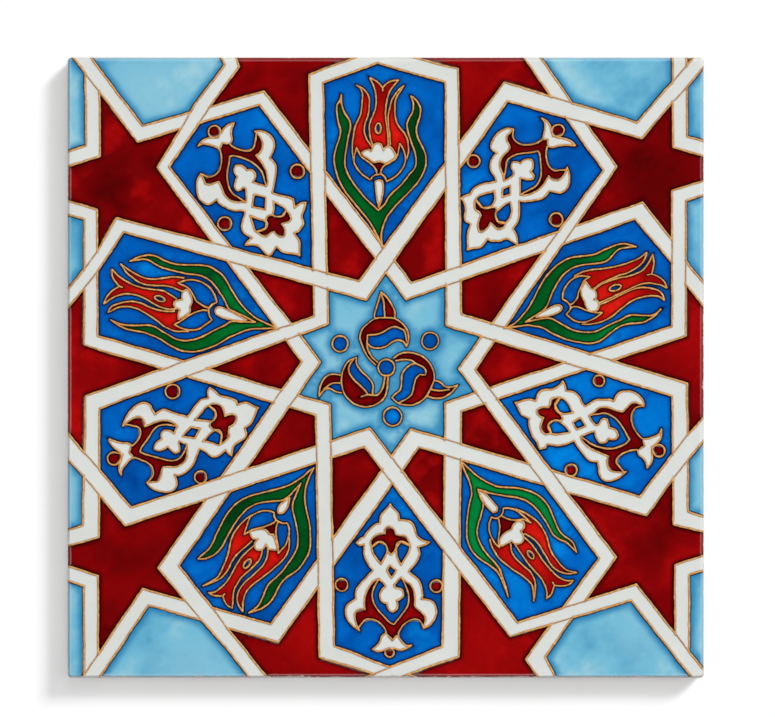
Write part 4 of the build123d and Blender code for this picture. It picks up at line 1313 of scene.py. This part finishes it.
facing = {"low": -centres[:, 1], "top": centres[:, 1], "left": -centres[:, 0], "right": centres[:, 0]}
depth = wear_depth + wear_change * (grain_share * grain + drift_share * drift)
depth += low_edge_wear * (centres[:, 1] < edge_zone - face_height / 2)
for side, along, half, deep in chips:
    level_way = side in ("low", "top")
    place = on_tile((along, along))[0][0 if level_way else 1]
    run = np.abs(centres[:, 0 if level_way else 1] - place) / (half / photo_px_per_mm)
    near = facing[side] > (face_height if level_way else face_width) / 2 - edge_zone
    bite = deep / photo_px_per_mm * np.sqrt(np.clip(1 - run**2, 0, 1)) * (1 + grain_share * grain)
    depth = np.where(near, np.maximum(depth, bite), depth)
worn = edge_in < depth
kind[worn] = glazes.index("biscuit")
print(int(worn.sum()), "worn triangles,", len(chips), "chips")

# %% [markdown]
# ## Thick and thin pools
# Glaze never lies evenly. Where it ran together it is darker, and where it ran off the ground shines
# through. The broad spots are written as middle and reach in pixels, and how much thicker the glaze is
# there, below zero where it is thinner. The tulips are all darker at their tips, so their spots are written
# once, for the petal that stands upright.

# %% Thick and thin pools
pools = {
    "ruby": [
        ((105, 170), 48, 0.55), ((660, 185), 48, 0.75), ((150, 268), 28, 0.5), ((690, 325), 40, -0.7),
        ((80, 420), 40, -0.45), ((250, 430), 35, -0.5), ((320, 630), 45, -0.8), ((490, 640), 45, -0.6),
        ((245, 515), 22, 1.0), ((340, 72), 25, -0.4), ((460, 75), 30, -0.5), ((400, 262), 40, 0.35),
        ((487, 440), 30, 0.45), ((420, 470), 25, 0.5), ((150, 605), 25, -0.4), ((690, 520), 10, 0.35),
        ((673, 530), 10, 0.4), ((661, 545), 10, 0.4), ((655, 561), 10, 0.3), ((97, 195), 9, 0.4),
        ((109, 190), 9, 0.4), ((122, 183), 9, 0.35), ((118, 204), 8, 0.3),
    ],
    "cobalt": [
        ((415, 585), 42, 0.6), ((500, 560), 45, -0.7), ((125, 480), 40, 0.5), ((245, 275), 40, 0.5),
        ((165, 240), 30, 0.45), ((285, 115), 28, -0.7), ((650, 425), 32, -0.5), ((407, 480), 26, 0.4),
        ((400, 625), 28, 0.4), ((385, 85), 35, -0.3), ((485, 115), 25, -0.25), ((490, 595), 30, -0.3),
        ((565, 590), 25, -0.25), ((125, 520), 25, 0.25), ((125, 315), 25, 0.25), ((245, 315), 22, 0.25),
    ],
    "turquoise": [
        ((335, 365), 40, -0.45), ((445, 430), 22, 0.6), ((150, 95), 40, -0.5), ((190, 668), 50, -0.4),
        ((640, 640), 30, -0.25), ((385, 350), 60, -0.3), ((325, 395), 22, -0.3), ((690, 80), 25, -0.4),
        ((85, 500), 35, -0.35), ((690, 475), 30, -0.3), ((690, 270), 30, -0.2), ((165, 610), 40, 0.3),
    ],
    "green": [
        ((420, 160), 40, 1.3), ((330, 140), 40, 0.5), ((165, 285), 50, 0.6), ((490, 510), 60, -0.8),
        ((270, 520), 60, 0.6), ((523, 275), 30, 1.0), ((287, 595), 25, 0.5), ((207, 540), 30, 0.4),
        ((487, 555), 25, -0.7), ((565, 515), 22, -0.6), ((607, 262), 22, -0.4), ((600, 318), 12, 0.5),
    ],
}
tulip_pools = [((384, 82), 17, 0.75), ((362, 88), 12, 0.5), ((405, 92), 12, 0.5), ((410, 155), 10, 0.6)]


def thick_of(glaze):
    """How much thicker than usual a glaze lies, for every point of the map."""
    rows = [(on_tile(middle)[0], reach, amount) for middle, reach, amount in pools.get(glaze, [])]
    if glaze == "coral":
        for petal in tulips:
            rows += [(seat([spot], petal - upright)[0], reach, amount) for spot, reach, amount in tulip_pools]
    total = np.zeros(len(spots))
    for middle, reach, amount in rows:
        apart = np.hypot(*(spots - middle).T) * photo_px_per_mm / reach
        total += amount * np.exp(-(apart**2))
    return total


print(sum(len(rows) for rows in pools.values()), "thick and thin pools")

# %% [markdown]
# ## One closed piece for each glaze
# Each glaze keeps its own triangles and is extruded down to the blank, so it is a closed body of its own.
# Where two patches of it meet in one point only, the point is parted first, so that their walls don't join.
# The distances from the shore and from the edge and the thickness of the pool are kept on its points, and
# the materials use them for darker and paler glaze. The lines are two pieces, those of the straps and those
# of the motifs, so that no mesh grows too heavy.

# %% Glaze pieces
pieces = {}


def made_object(name, bm):
    """A finished bmesh as an object of the scene."""
    mesh = bpy.data.meshes.new(name)
    bm.to_mesh(mesh)
    bm.free()
    made = bpy.data.objects.new(name, mesh)
    bpy.context.collection.objects.link(made)
    return made


def glaze_piece(name, faces, thick):
    """A closed piece from some triangles of the map."""
    used, flat = np.unique(faces, return_inverse=True)
    flat = flat.reshape(-1, 3)
    bm = bmesh.new()
    marks = {"shore": spot_gap, "brim": spot_brim, "thick": thick}
    layers = {label: bm.verts.layers.float.new(label) for label in marks}
    made = []
    for i in used:
        vert = bm.verts.new((spots[i][0] * mm, spots[i][1] * mm, height[i] * mm))
        for label, values in marks.items():
            vert[layers[label]] = float(values[i])
        made.append(vert)
    for a, b, c in flat:
        face = bm.faces.new((made[a], made[b], made[c]))
        face.smooth = True
    bm.normal_update()
    turned = [face for face in bm.faces if face.normal.z < 0]
    bmesh.ops.reverse_faces(bm, faces=turned)
    for vert in bm.verts[:]:
        rim_edges = [edge for edge in vert.link_edges if edge.is_boundary]
        if len(rim_edges) > 2:
            bmesh.utils.vert_separate(vert, rim_edges)
    tops = bm.faces[:]
    rims = [edge for edge in bm.edges if edge.is_boundary]
    for edge in rims:
        edge.smooth = False
    below = bmesh.ops.extrude_face_region(bm, geom=tops, use_keep_orig=True)
    for item in below["geom"]:
        if isinstance(item, bmesh.types.BMVert):
            item.co.z = blank_height * mm
    bmesh.ops.recalc_face_normals(bm, faces=bm.faces[:])
    open_edges = sum(1 for edge in bm.edges if len(edge.link_faces) != 2)
    print(name, len(bm.faces), "faces,", open_edges, "edges not shared by two faces")
    return made_object(name, bm)


piece_names = {
    "ruby": "ruby_cells", "cobalt": "cobalt_cells", "turquoise": "turquoise_cells",
    "white": "white_straps", "coral": "coral_petals", "green": "green_leaves",
    "strap_gold": "strap_lines", "motif_gold": "motif_lines", "biscuit": "worn_edge",
}
for number, glaze in enumerate(glazes):
    pieces[glaze] = glaze_piece(piece_names[glaze], triangles[kind == number], thick_of(glaze))

# %% [markdown]
# ## The blank
# Under the glaze is a plain pressed blank. It starts as a cube, gets eased edges, and its bed face is cut
# into a grid whose cells are pressed in, to key into the mortar.

# %% Blank
key_count = 6
key_pitch = 29.0
key_size = 23.0
key_depth = 0.8
bed_arris = 0.5
bed_level = 1e-6
bm = bmesh.new()
bmesh.ops.create_cube(bm, size=1.0)
bmesh.ops.scale(bm, vec=(face_width * mm, face_height * mm, blank_height * mm), verts=bm.verts[:])
bmesh.ops.translate(bm, vec=(0, 0, blank_height * mm / 2), verts=bm.verts[:])
uprights = [e for e in bm.edges if abs(e.verts[0].co.z - e.verts[1].co.z) > mm]
bmesh.ops.bevel(
    bm, geom=uprights, offset=corner_radius * mm, segments=6, profile=0.5, affect="EDGES", material=-1
)
beds = [e for e in bm.edges if max(v.co.z for v in e.verts) < bed_level]
bmesh.ops.bevel(bm, geom=beds, offset=bed_arris * mm, segments=3, profile=0.5, affect="EDGES", material=-1)
for axis in ((1, 0, 0), (0, 1, 0)):
    for line in range(key_count + 1):
        cut = (line - key_count / 2) * key_pitch * mm
        whole = bm.verts[:] + bm.edges[:] + bm.faces[:]
        bmesh.ops.bisect_plane(bm, geom=whole, plane_co=Vector(axis) * cut, plane_no=axis)
reach = key_count / 2 * key_pitch * mm
keys = []
for face in bm.faces:
    middle = face.calc_center_median()
    if middle.z < bed_level and abs(middle.x) < reach and abs(middle.y) < reach:
        keys.append(face)
key_rib = (key_pitch - key_size) / 2 * mm
key_sink = key_depth * mm
bmesh.ops.inset_individual(bm, faces=keys, thickness=key_rib, use_even_offset=True)
bmesh.ops.inset_individual(bm, faces=keys, thickness=key_sink, depth=-key_sink, use_even_offset=True)
bmesh.ops.recalc_face_normals(bm, faces=bm.faces[:])
print("blank:", len(bm.faces), "faces,", len(keys), "recesses")
blank = made_object("pressed_blank", bm)

# %% [markdown]
# ## Glaze materials
# A pool of glaze is deep and dark at its shore and clearer in the middle, with clouds where it ran, and at
# the edge of the tile it is thin and rubbed dull. One node group makes that from the distances and the
# thickness kept on the points, and each glaze gives it its own colours.

# %% Pool of glaze
def srgb(r, g, b):
    """A colour picked as 0 to 255, as Blender wants it."""
    parts = []
    for part in (r, g, b):
        share = part / 255
        parts.append(share / 12.92 if share <= 0.04045 else ((share + 0.055) / 1.055) ** 2.4)
    return (*parts, 1.0)


def new_group(name, inputs, outputs):
    """An empty shader node group with named sockets."""
    group = bpy.data.node_groups.new(name, "ShaderNodeTree")
    for label, kind_of, start in inputs:
        socket = group.interface.new_socket(label, in_out="INPUT", socket_type=kind_of)
        socket.default_value = start
    for label, kind_of in outputs:
        group.interface.new_socket(label, in_out="OUTPUT", socket_type=kind_of)
    return group, group.nodes.new("NodeGroupInput"), group.nodes.new("NodeGroupOutput")


def feed(tree, socket, value):
    """Sets a value on a socket, or links another node's output to it."""
    if isinstance(value, bpy.types.NodeSocket):
        tree.links.new(value, socket)
    else:
        socket.default_value = value


def add(tree, kind_of, settings=None, **sockets):
    """A node with its settings, and sockets given a value or another node's output."""
    node = tree.nodes.new(kind_of)
    for key, value in (settings or {}).items():
        setattr(node, key, value)
    for key, value in sockets.items():
        slot_name = key.replace("_", " ")
        feed(tree, next(s for s in node.inputs if s.name == slot_name and s.enabled), value)
    return node


def sums(tree, operation, first, second):
    """One sum of two numbers, each a value or a socket."""
    node = tree.nodes.new("ShaderNodeMath")
    node.operation = operation
    node.use_clamp = True
    for socket, value in zip(node.inputs, (first, second)):
        feed(tree, socket, value)
    return node.outputs[0]


def blend(tree, share, first, second):
    """A mix of two colours."""
    node = tree.nodes.new("ShaderNodeMix")
    node.data_type = "RGBA"
    for socket, value in zip((node.inputs["Factor"], node.inputs[6], node.inputs[7]), (share, first, second)):
        feed(tree, socket, value)
    return node.outputs[2]


def ramp(tree, value, low, high, at_low=0.0, at_high=1.0):
    """A smooth step between two values."""
    ends = {"Value": value, "From_Min": low, "From_Max": high, "To_Min": at_low, "To_Max": at_high}
    return add(tree, "ShaderNodeMapRange", {"interpolation_type": "SMOOTHSTEP"}, **ends).outputs[0]


pool_group, pool_in, pool_out = new_group(
    "glaze_pool",
    [
        ("Coordinates", "NodeSocketVector", (0, 0, 0)),
        ("Shore", "NodeSocketFloat", 0.0),
        ("Brim", "NodeSocketFloat", 5.0),
        ("Thick", "NodeSocketFloat", 0.0),
        ("Calm", "NodeSocketFloat", 0.4),
        ("Bank", "NodeSocketFloat", 1.5),
        ("Rim width", "NodeSocketFloat", 0.2),
        ("Rim", "NodeSocketColor", (0, 0, 0, 1)),
        ("Deep", "NodeSocketColor", (0, 0, 0, 1)),
        ("Full", "NodeSocketColor", (0, 0, 0, 1)),
        ("Pale", "NodeSocketColor", (0, 0, 0, 1)),
        ("Thin", "NodeSocketColor", (0, 0, 0, 1)),
    ],
    [("Color", "NodeSocketColor"), ("Roughness", "NodeSocketFloat"), ("Height", "NodeSocketFloat")],
)
where = pool_in.outputs["Coordinates"]
banks = add(pool_group, "ShaderNodeTexNoise", Vector=where, Scale=24.0, Detail=1.0)
clouds = add(pool_group, "ShaderNodeTexNoise", Vector=where, Scale=85.0, Detail=3.0, Roughness=0.55)
curds = add(pool_group, "ShaderNodeTexNoise", Vector=where, Scale=420.0, Detail=2.0)
specks = add(pool_group, "ShaderNodeTexNoise", Vector=where, Scale=2600.0, Detail=1.0)
brushed = add(
    pool_group, "ShaderNodeMapping", {"vector_type": "TEXTURE"}, Vector=where, Rotation=(0, 0, 0.65),
    Scale=(0.018, 0.004, 1.0),
)
strokes_seen = add(pool_group, "ShaderNodeTexNoise", Vector=brushed.outputs["Vector"], Scale=1.0, Detail=2.0)
flow = blend(pool_group, 0.2, clouds.outputs["Color"], strokes_seen.outputs["Color"])
flow = blend(pool_group, 0.42, flow, banks.outputs["Color"])
flow = add(pool_group, "ShaderNodeSeparateColor", Color=flow).outputs["Red"]
shore_in = pool_in.outputs["Shore"]
bank = ramp(pool_group, shore_in, 0.0, pool_in.outputs["Bank"])
thick_in = pool_in.outputs["Thick"]
cleared = ramp(pool_group, flow, 0.38, 0.54, pool_in.outputs["Calm"], 1.0)
depth = sums(pool_group, "MULTIPLY", bank, sums(pool_group, "SUBTRACT", cleared, thick_in))
tint = blend(pool_group, depth, pool_in.outputs["Deep"], pool_in.outputs["Full"])
paled = sums(pool_group, "SUBTRACT", ramp(pool_group, flow, 0.5, 0.66), thick_in)
paled = sums(pool_group, "MULTIPLY", bank, paled)
paled = sums(pool_group, "MULTIPLY", paled, ramp(pool_group, curds.outputs["Fac"], 0.25, 0.6, 0.7, 1.0))
tint = blend(pool_group, paled, tint, pool_in.outputs["Pale"])
thinned = ramp(pool_group, pool_in.outputs["Brim"], 0.5, 1.3, 1.0, 0.0)
thinned = sums(pool_group, "MULTIPLY", thinned, ramp(pool_group, specks.outputs["Fac"], 0.3, 0.6, 0.4, 0.9))
tint = blend(pool_group, thinned, tint, pool_in.outputs["Thin"])
rimmed = ramp(pool_group, shore_in, 0.16, pool_in.outputs["Rim width"], 1.0, 0.0)
tint = blend(pool_group, rimmed, tint, pool_in.outputs["Rim"])
pool_group.links.new(tint, pool_out.inputs["Color"])
gloss = ramp(pool_group, curds.outputs["Fac"], 0.2, 0.8, 0.05, 0.11)
rubbed = ramp(pool_group, pool_in.outputs["Brim"], 0.8, 1.4, 0.36, 0.0)
gloss = sums(pool_group, "MAXIMUM", gloss, rubbed)
pool_group.links.new(gloss, pool_out.inputs["Roughness"])
pool_group.links.new(specks.outputs["Fac"], pool_out.inputs["Height"])
print("glaze_pool has", len(pool_group.nodes), "nodes")

# %% Materials of the glazes
def new_material(name, **constants):
    """A material with its shader, and constants on the shader's own sockets."""
    material = bpy.data.materials.new(name)
    material.use_nodes = True
    tree = material.node_tree
    shader = tree.nodes["Principled BSDF"]
    for key, value in constants.items():
        shader.inputs[key.replace("_", " ")].default_value = value
    place = tree.nodes.new("ShaderNodeTexCoord").outputs["Object"]
    return material, tree, shader, place


def bumped(tree, shader, socket, strength, distance):
    """Fine relief from a height."""
    bump = add(tree, "ShaderNodeBump", Height=socket, Strength=strength, Distance=distance)
    tree.links.new(bump.outputs["Normal"], shader.inputs["Normal"])


def glaze_material(name, rim, deep, full, pale, thin, bank, rim_width, calm):
    """A glossy glaze with dark shores."""
    material, tree, shader, place = new_material(name, IOR=1.5)
    pool_node = tree.nodes.new("ShaderNodeGroup")
    pool_node.node_tree = pool_group
    tree.links.new(place, pool_node.inputs["Coordinates"])
    for label in ("Shore", "Brim", "Thick"):
        mark = add(tree, "ShaderNodeAttribute", {"attribute_name": label.lower()})
        tree.links.new(mark.outputs["Fac"], pool_node.inputs[label])
    for key, colour in {"Rim": rim, "Deep": deep, "Full": full, "Pale": pale, "Thin": thin}.items():
        pool_node.inputs[key].default_value = srgb(*colour)
    for key, value in {"Bank": bank, "Rim width": rim_width, "Calm": calm}.items():
        pool_node.inputs[key].default_value = value
    tree.links.new(pool_node.outputs["Color"], shader.inputs["Base Color"])
    tree.links.new(pool_node.outputs["Roughness"], shader.inputs["Roughness"])
    bumped(tree, shader, pool_node.outputs["Height"], 0.05, 0.0001)
    return material


finish = {
    "ruby": glaze_material(
        "ruby_glaze", (10, 1, 2), (74, 1, 3), (128, 2, 5), (168, 9, 9), (120, 14, 14),
        bank=1.8, rim_width=0.56, calm=0.45
    ),
    "cobalt": glaze_material(
        "cobalt_glaze", (1, 6, 20), (0, 60, 138), (0, 97, 187), (0, 128, 214), (60, 120, 170),
        bank=1.6, rim_width=0.54, calm=0.35
    ),
    "turquoise": glaze_material(
        "turquoise_glaze", (4, 30, 48), (36, 126, 176), (110, 181, 208), (152, 200, 214), (138, 172, 186),
        bank=3.2, rim_width=0.45, calm=0.5
    ),
    "white": glaze_material(
        "white_glaze", (188, 188, 180), (208, 210, 205), (212, 215, 211), (215, 218, 214), (198, 201, 198),
        bank=0.8, rim_width=0.2, calm=0.4
    ),
    "coral": glaze_material(
        "coral_glaze", (20, 2, 3), (140, 6, 6), (204, 20, 12), (222, 36, 20), (190, 60, 40),
        bank=1.3, rim_width=0.38, calm=0.35
    ),
    "green": glaze_material(
        "green_glaze", (1, 8, 4), (0, 56, 20), (0, 98, 34), (0, 132, 62), (60, 120, 70),
        bank=1.1, rim_width=0.4, calm=0.35
    ),
}
print(sorted(finish))

# %% [markdown]
# ## Lines and body
# The piped lines are a dull gold brown, with a painted highlight along their backs and painted shade at their
# sides. The body is a pale, slightly pink, fine-grained ceramic.

# %% Materials of the lines and the body
material, tree, shader, place = new_material("gold_line", IOR=1.5)
shore_read = add(tree, "ShaderNodeAttribute", {"attribute_name": "shore"})
beads = add(tree, "ShaderNodeTexNoise", Vector=place, Scale=760.0, Detail=3.0)
# Painted highlight and painted shade: each line is coloured lighter along its crest and darker towards its
# sides.
painted_crest_light = ramp(tree, sums(tree, "MULTIPLY", shore_read.outputs["Fac"], -1.0), 0.0, 0.3)
brown = blend(tree, painted_crest_light, srgb(146, 88, 32), srgb(217, 152, 66))
brown = blend(tree, ramp(tree, beads.outputs["Fac"], 0.32, 0.5, 0.6, 0.0), brown, srgb(150, 88, 30))
worn_gold = ramp(tree, beads.outputs["Fac"], 0.5, 0.72, 0.0, 0.6)
tree.links.new(blend(tree, worn_gold, brown, srgb(226, 184, 120)), shader.inputs["Base Color"])
tree.links.new(ramp(tree, beads.outputs["Fac"], 0.3, 0.7, 0.35, 0.55), shader.inputs["Roughness"])
bumped(tree, shader, beads.outputs["Fac"], 0.25, 0.0003)
finish["strap_gold"] = material
finish["motif_gold"] = material

material, tree, shader, place = new_material("biscuit", IOR=1.45)
grains = add(tree, "ShaderNodeTexNoise", Vector=place, Scale=1400.0, Detail=4.0)
stains = add(tree, "ShaderNodeTexNoise", Vector=place, Scale=60.0, Detail=3.0)
stained = ramp(tree, stains.outputs["Fac"], 0.35, 0.7)
body_tint = blend(tree, stained, srgb(206, 200, 196), srgb(188, 180, 174))
body_tint = blend(tree, ramp(tree, grains.outputs["Fac"], 0.55, 0.75), body_tint, srgb(142, 136, 134))
tree.links.new(body_tint, shader.inputs["Base Color"])
tree.links.new(ramp(tree, grains.outputs["Fac"], 0.3, 0.7, 0.75, 0.92), shader.inputs["Roughness"])
bumped(tree, shader, grains.outputs["Fac"], 0.35, 0.0004)
finish["biscuit"] = material
print(len(finish), "finishes")

# %% [markdown]
# ## On the body
# The tile is rigid, so every piece rides on its one body and names the finish that it takes. The blank
# stands in for the solid of the CAD part.

# %% Put the pieces on the body
for glaze, piece in pieces.items():
    piece.data.materials.append(finish[glaze])
    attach(piece, "root")
blank.data.materials.append(finish["biscuit"])
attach(blank, "root")
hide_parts("tile")
print(len(pieces) + 1, "pieces ride on root")

# %% [markdown]
# ## Floor, light and camera
# The photograph looks straight down on a white ground, with soft light from the upper right. Nothing
# bright stands above the face, so the glaze keeps its full colour.

# %% Floor
floor_half = 1.5
bm = bmesh.new()
bmesh.ops.create_grid(bm, x_segments=2, y_segments=2, size=floor_half)
floor = made_object("floor", bm)
material, tree, shader, place = new_material("pale_floor", IOR=1.2)
paper = add(tree, "ShaderNodeTexNoise", Vector=place, Scale=4.0, Detail=2.0)
tree.links.new(
    blend(tree, ramp(tree, paper.outputs["Fac"], 0.3, 0.7), (0.96, 0.96, 0.96, 1), (0.98, 0.98, 0.98, 1)),
    shader.inputs["Base Color"],
)
shader.inputs["Roughness"].default_value = 0.9
floor.data.materials.append(material)
print("floor", 2 * floor_half, "m wide")

# %% Lights
def soft_light(name, place, size, power):
    """A square of soft light that looks at the tile."""
    light = bpy.data.lights.new(name, "AREA")
    light.size = size
    light.energy = power
    lamp = bpy.data.objects.new(name, light)
    lamp.location = place
    lamp.rotation_euler = (-Vector(place)).to_track_quat("-Z", "Y").to_euler()
    bpy.context.collection.objects.link(lamp)


fill_away = 0.75
fill_up = 1.2
fill_size = 0.7
far_fill = 4.8
near_fill = 3.6
soft_light("key", (2.37, 2.25, 2.0), size=1.25, power=122.0)
soft_light("fill_left", (-fill_away, 0.0, fill_up), fill_size, far_fill)
soft_light("fill_right", (fill_away, 0.0, fill_up), fill_size, near_fill)
soft_light("fill_front", (0.0, -fill_away, fill_up), fill_size, far_fill)
soft_light("fill_back", (0.0, fill_away, fill_up), fill_size, near_fill)
world = bpy.data.worlds.new("dim_room")
world.use_nodes = True
world.node_tree.nodes["Background"].inputs["Color"].default_value = (1, 1, 1, 1)
world.node_tree.nodes["Background"].inputs["Strength"].default_value = 0.015
bpy.context.scene.world = world
bpy.context.scene.view_settings.view_transform = "Standard"
print("five soft lights")

# %% Camera
photo_frame = (775, 717)
frame_middle = on_tile((photo_frame[0] / 2, photo_frame[1] / 2))[0]
frame_width = photo_frame[0] / photo_px_per_mm
lens = 150.0
sensor = 36.0
camera_data = bpy.data.cameras.new("camera")
camera_data.lens = lens
camera_data.sensor_width = sensor
camera = bpy.data.objects.new("camera", camera_data)
camera.location = (frame_middle[0] * mm, frame_middle[1] * mm, (thickness + frame_width * lens / sensor) * mm)
bpy.context.collection.objects.link(camera)
bpy.context.scene.camera = camera
print("camera stands", round(camera.location.z, 3), "m up")

# %% End of the scene
print("scene built")
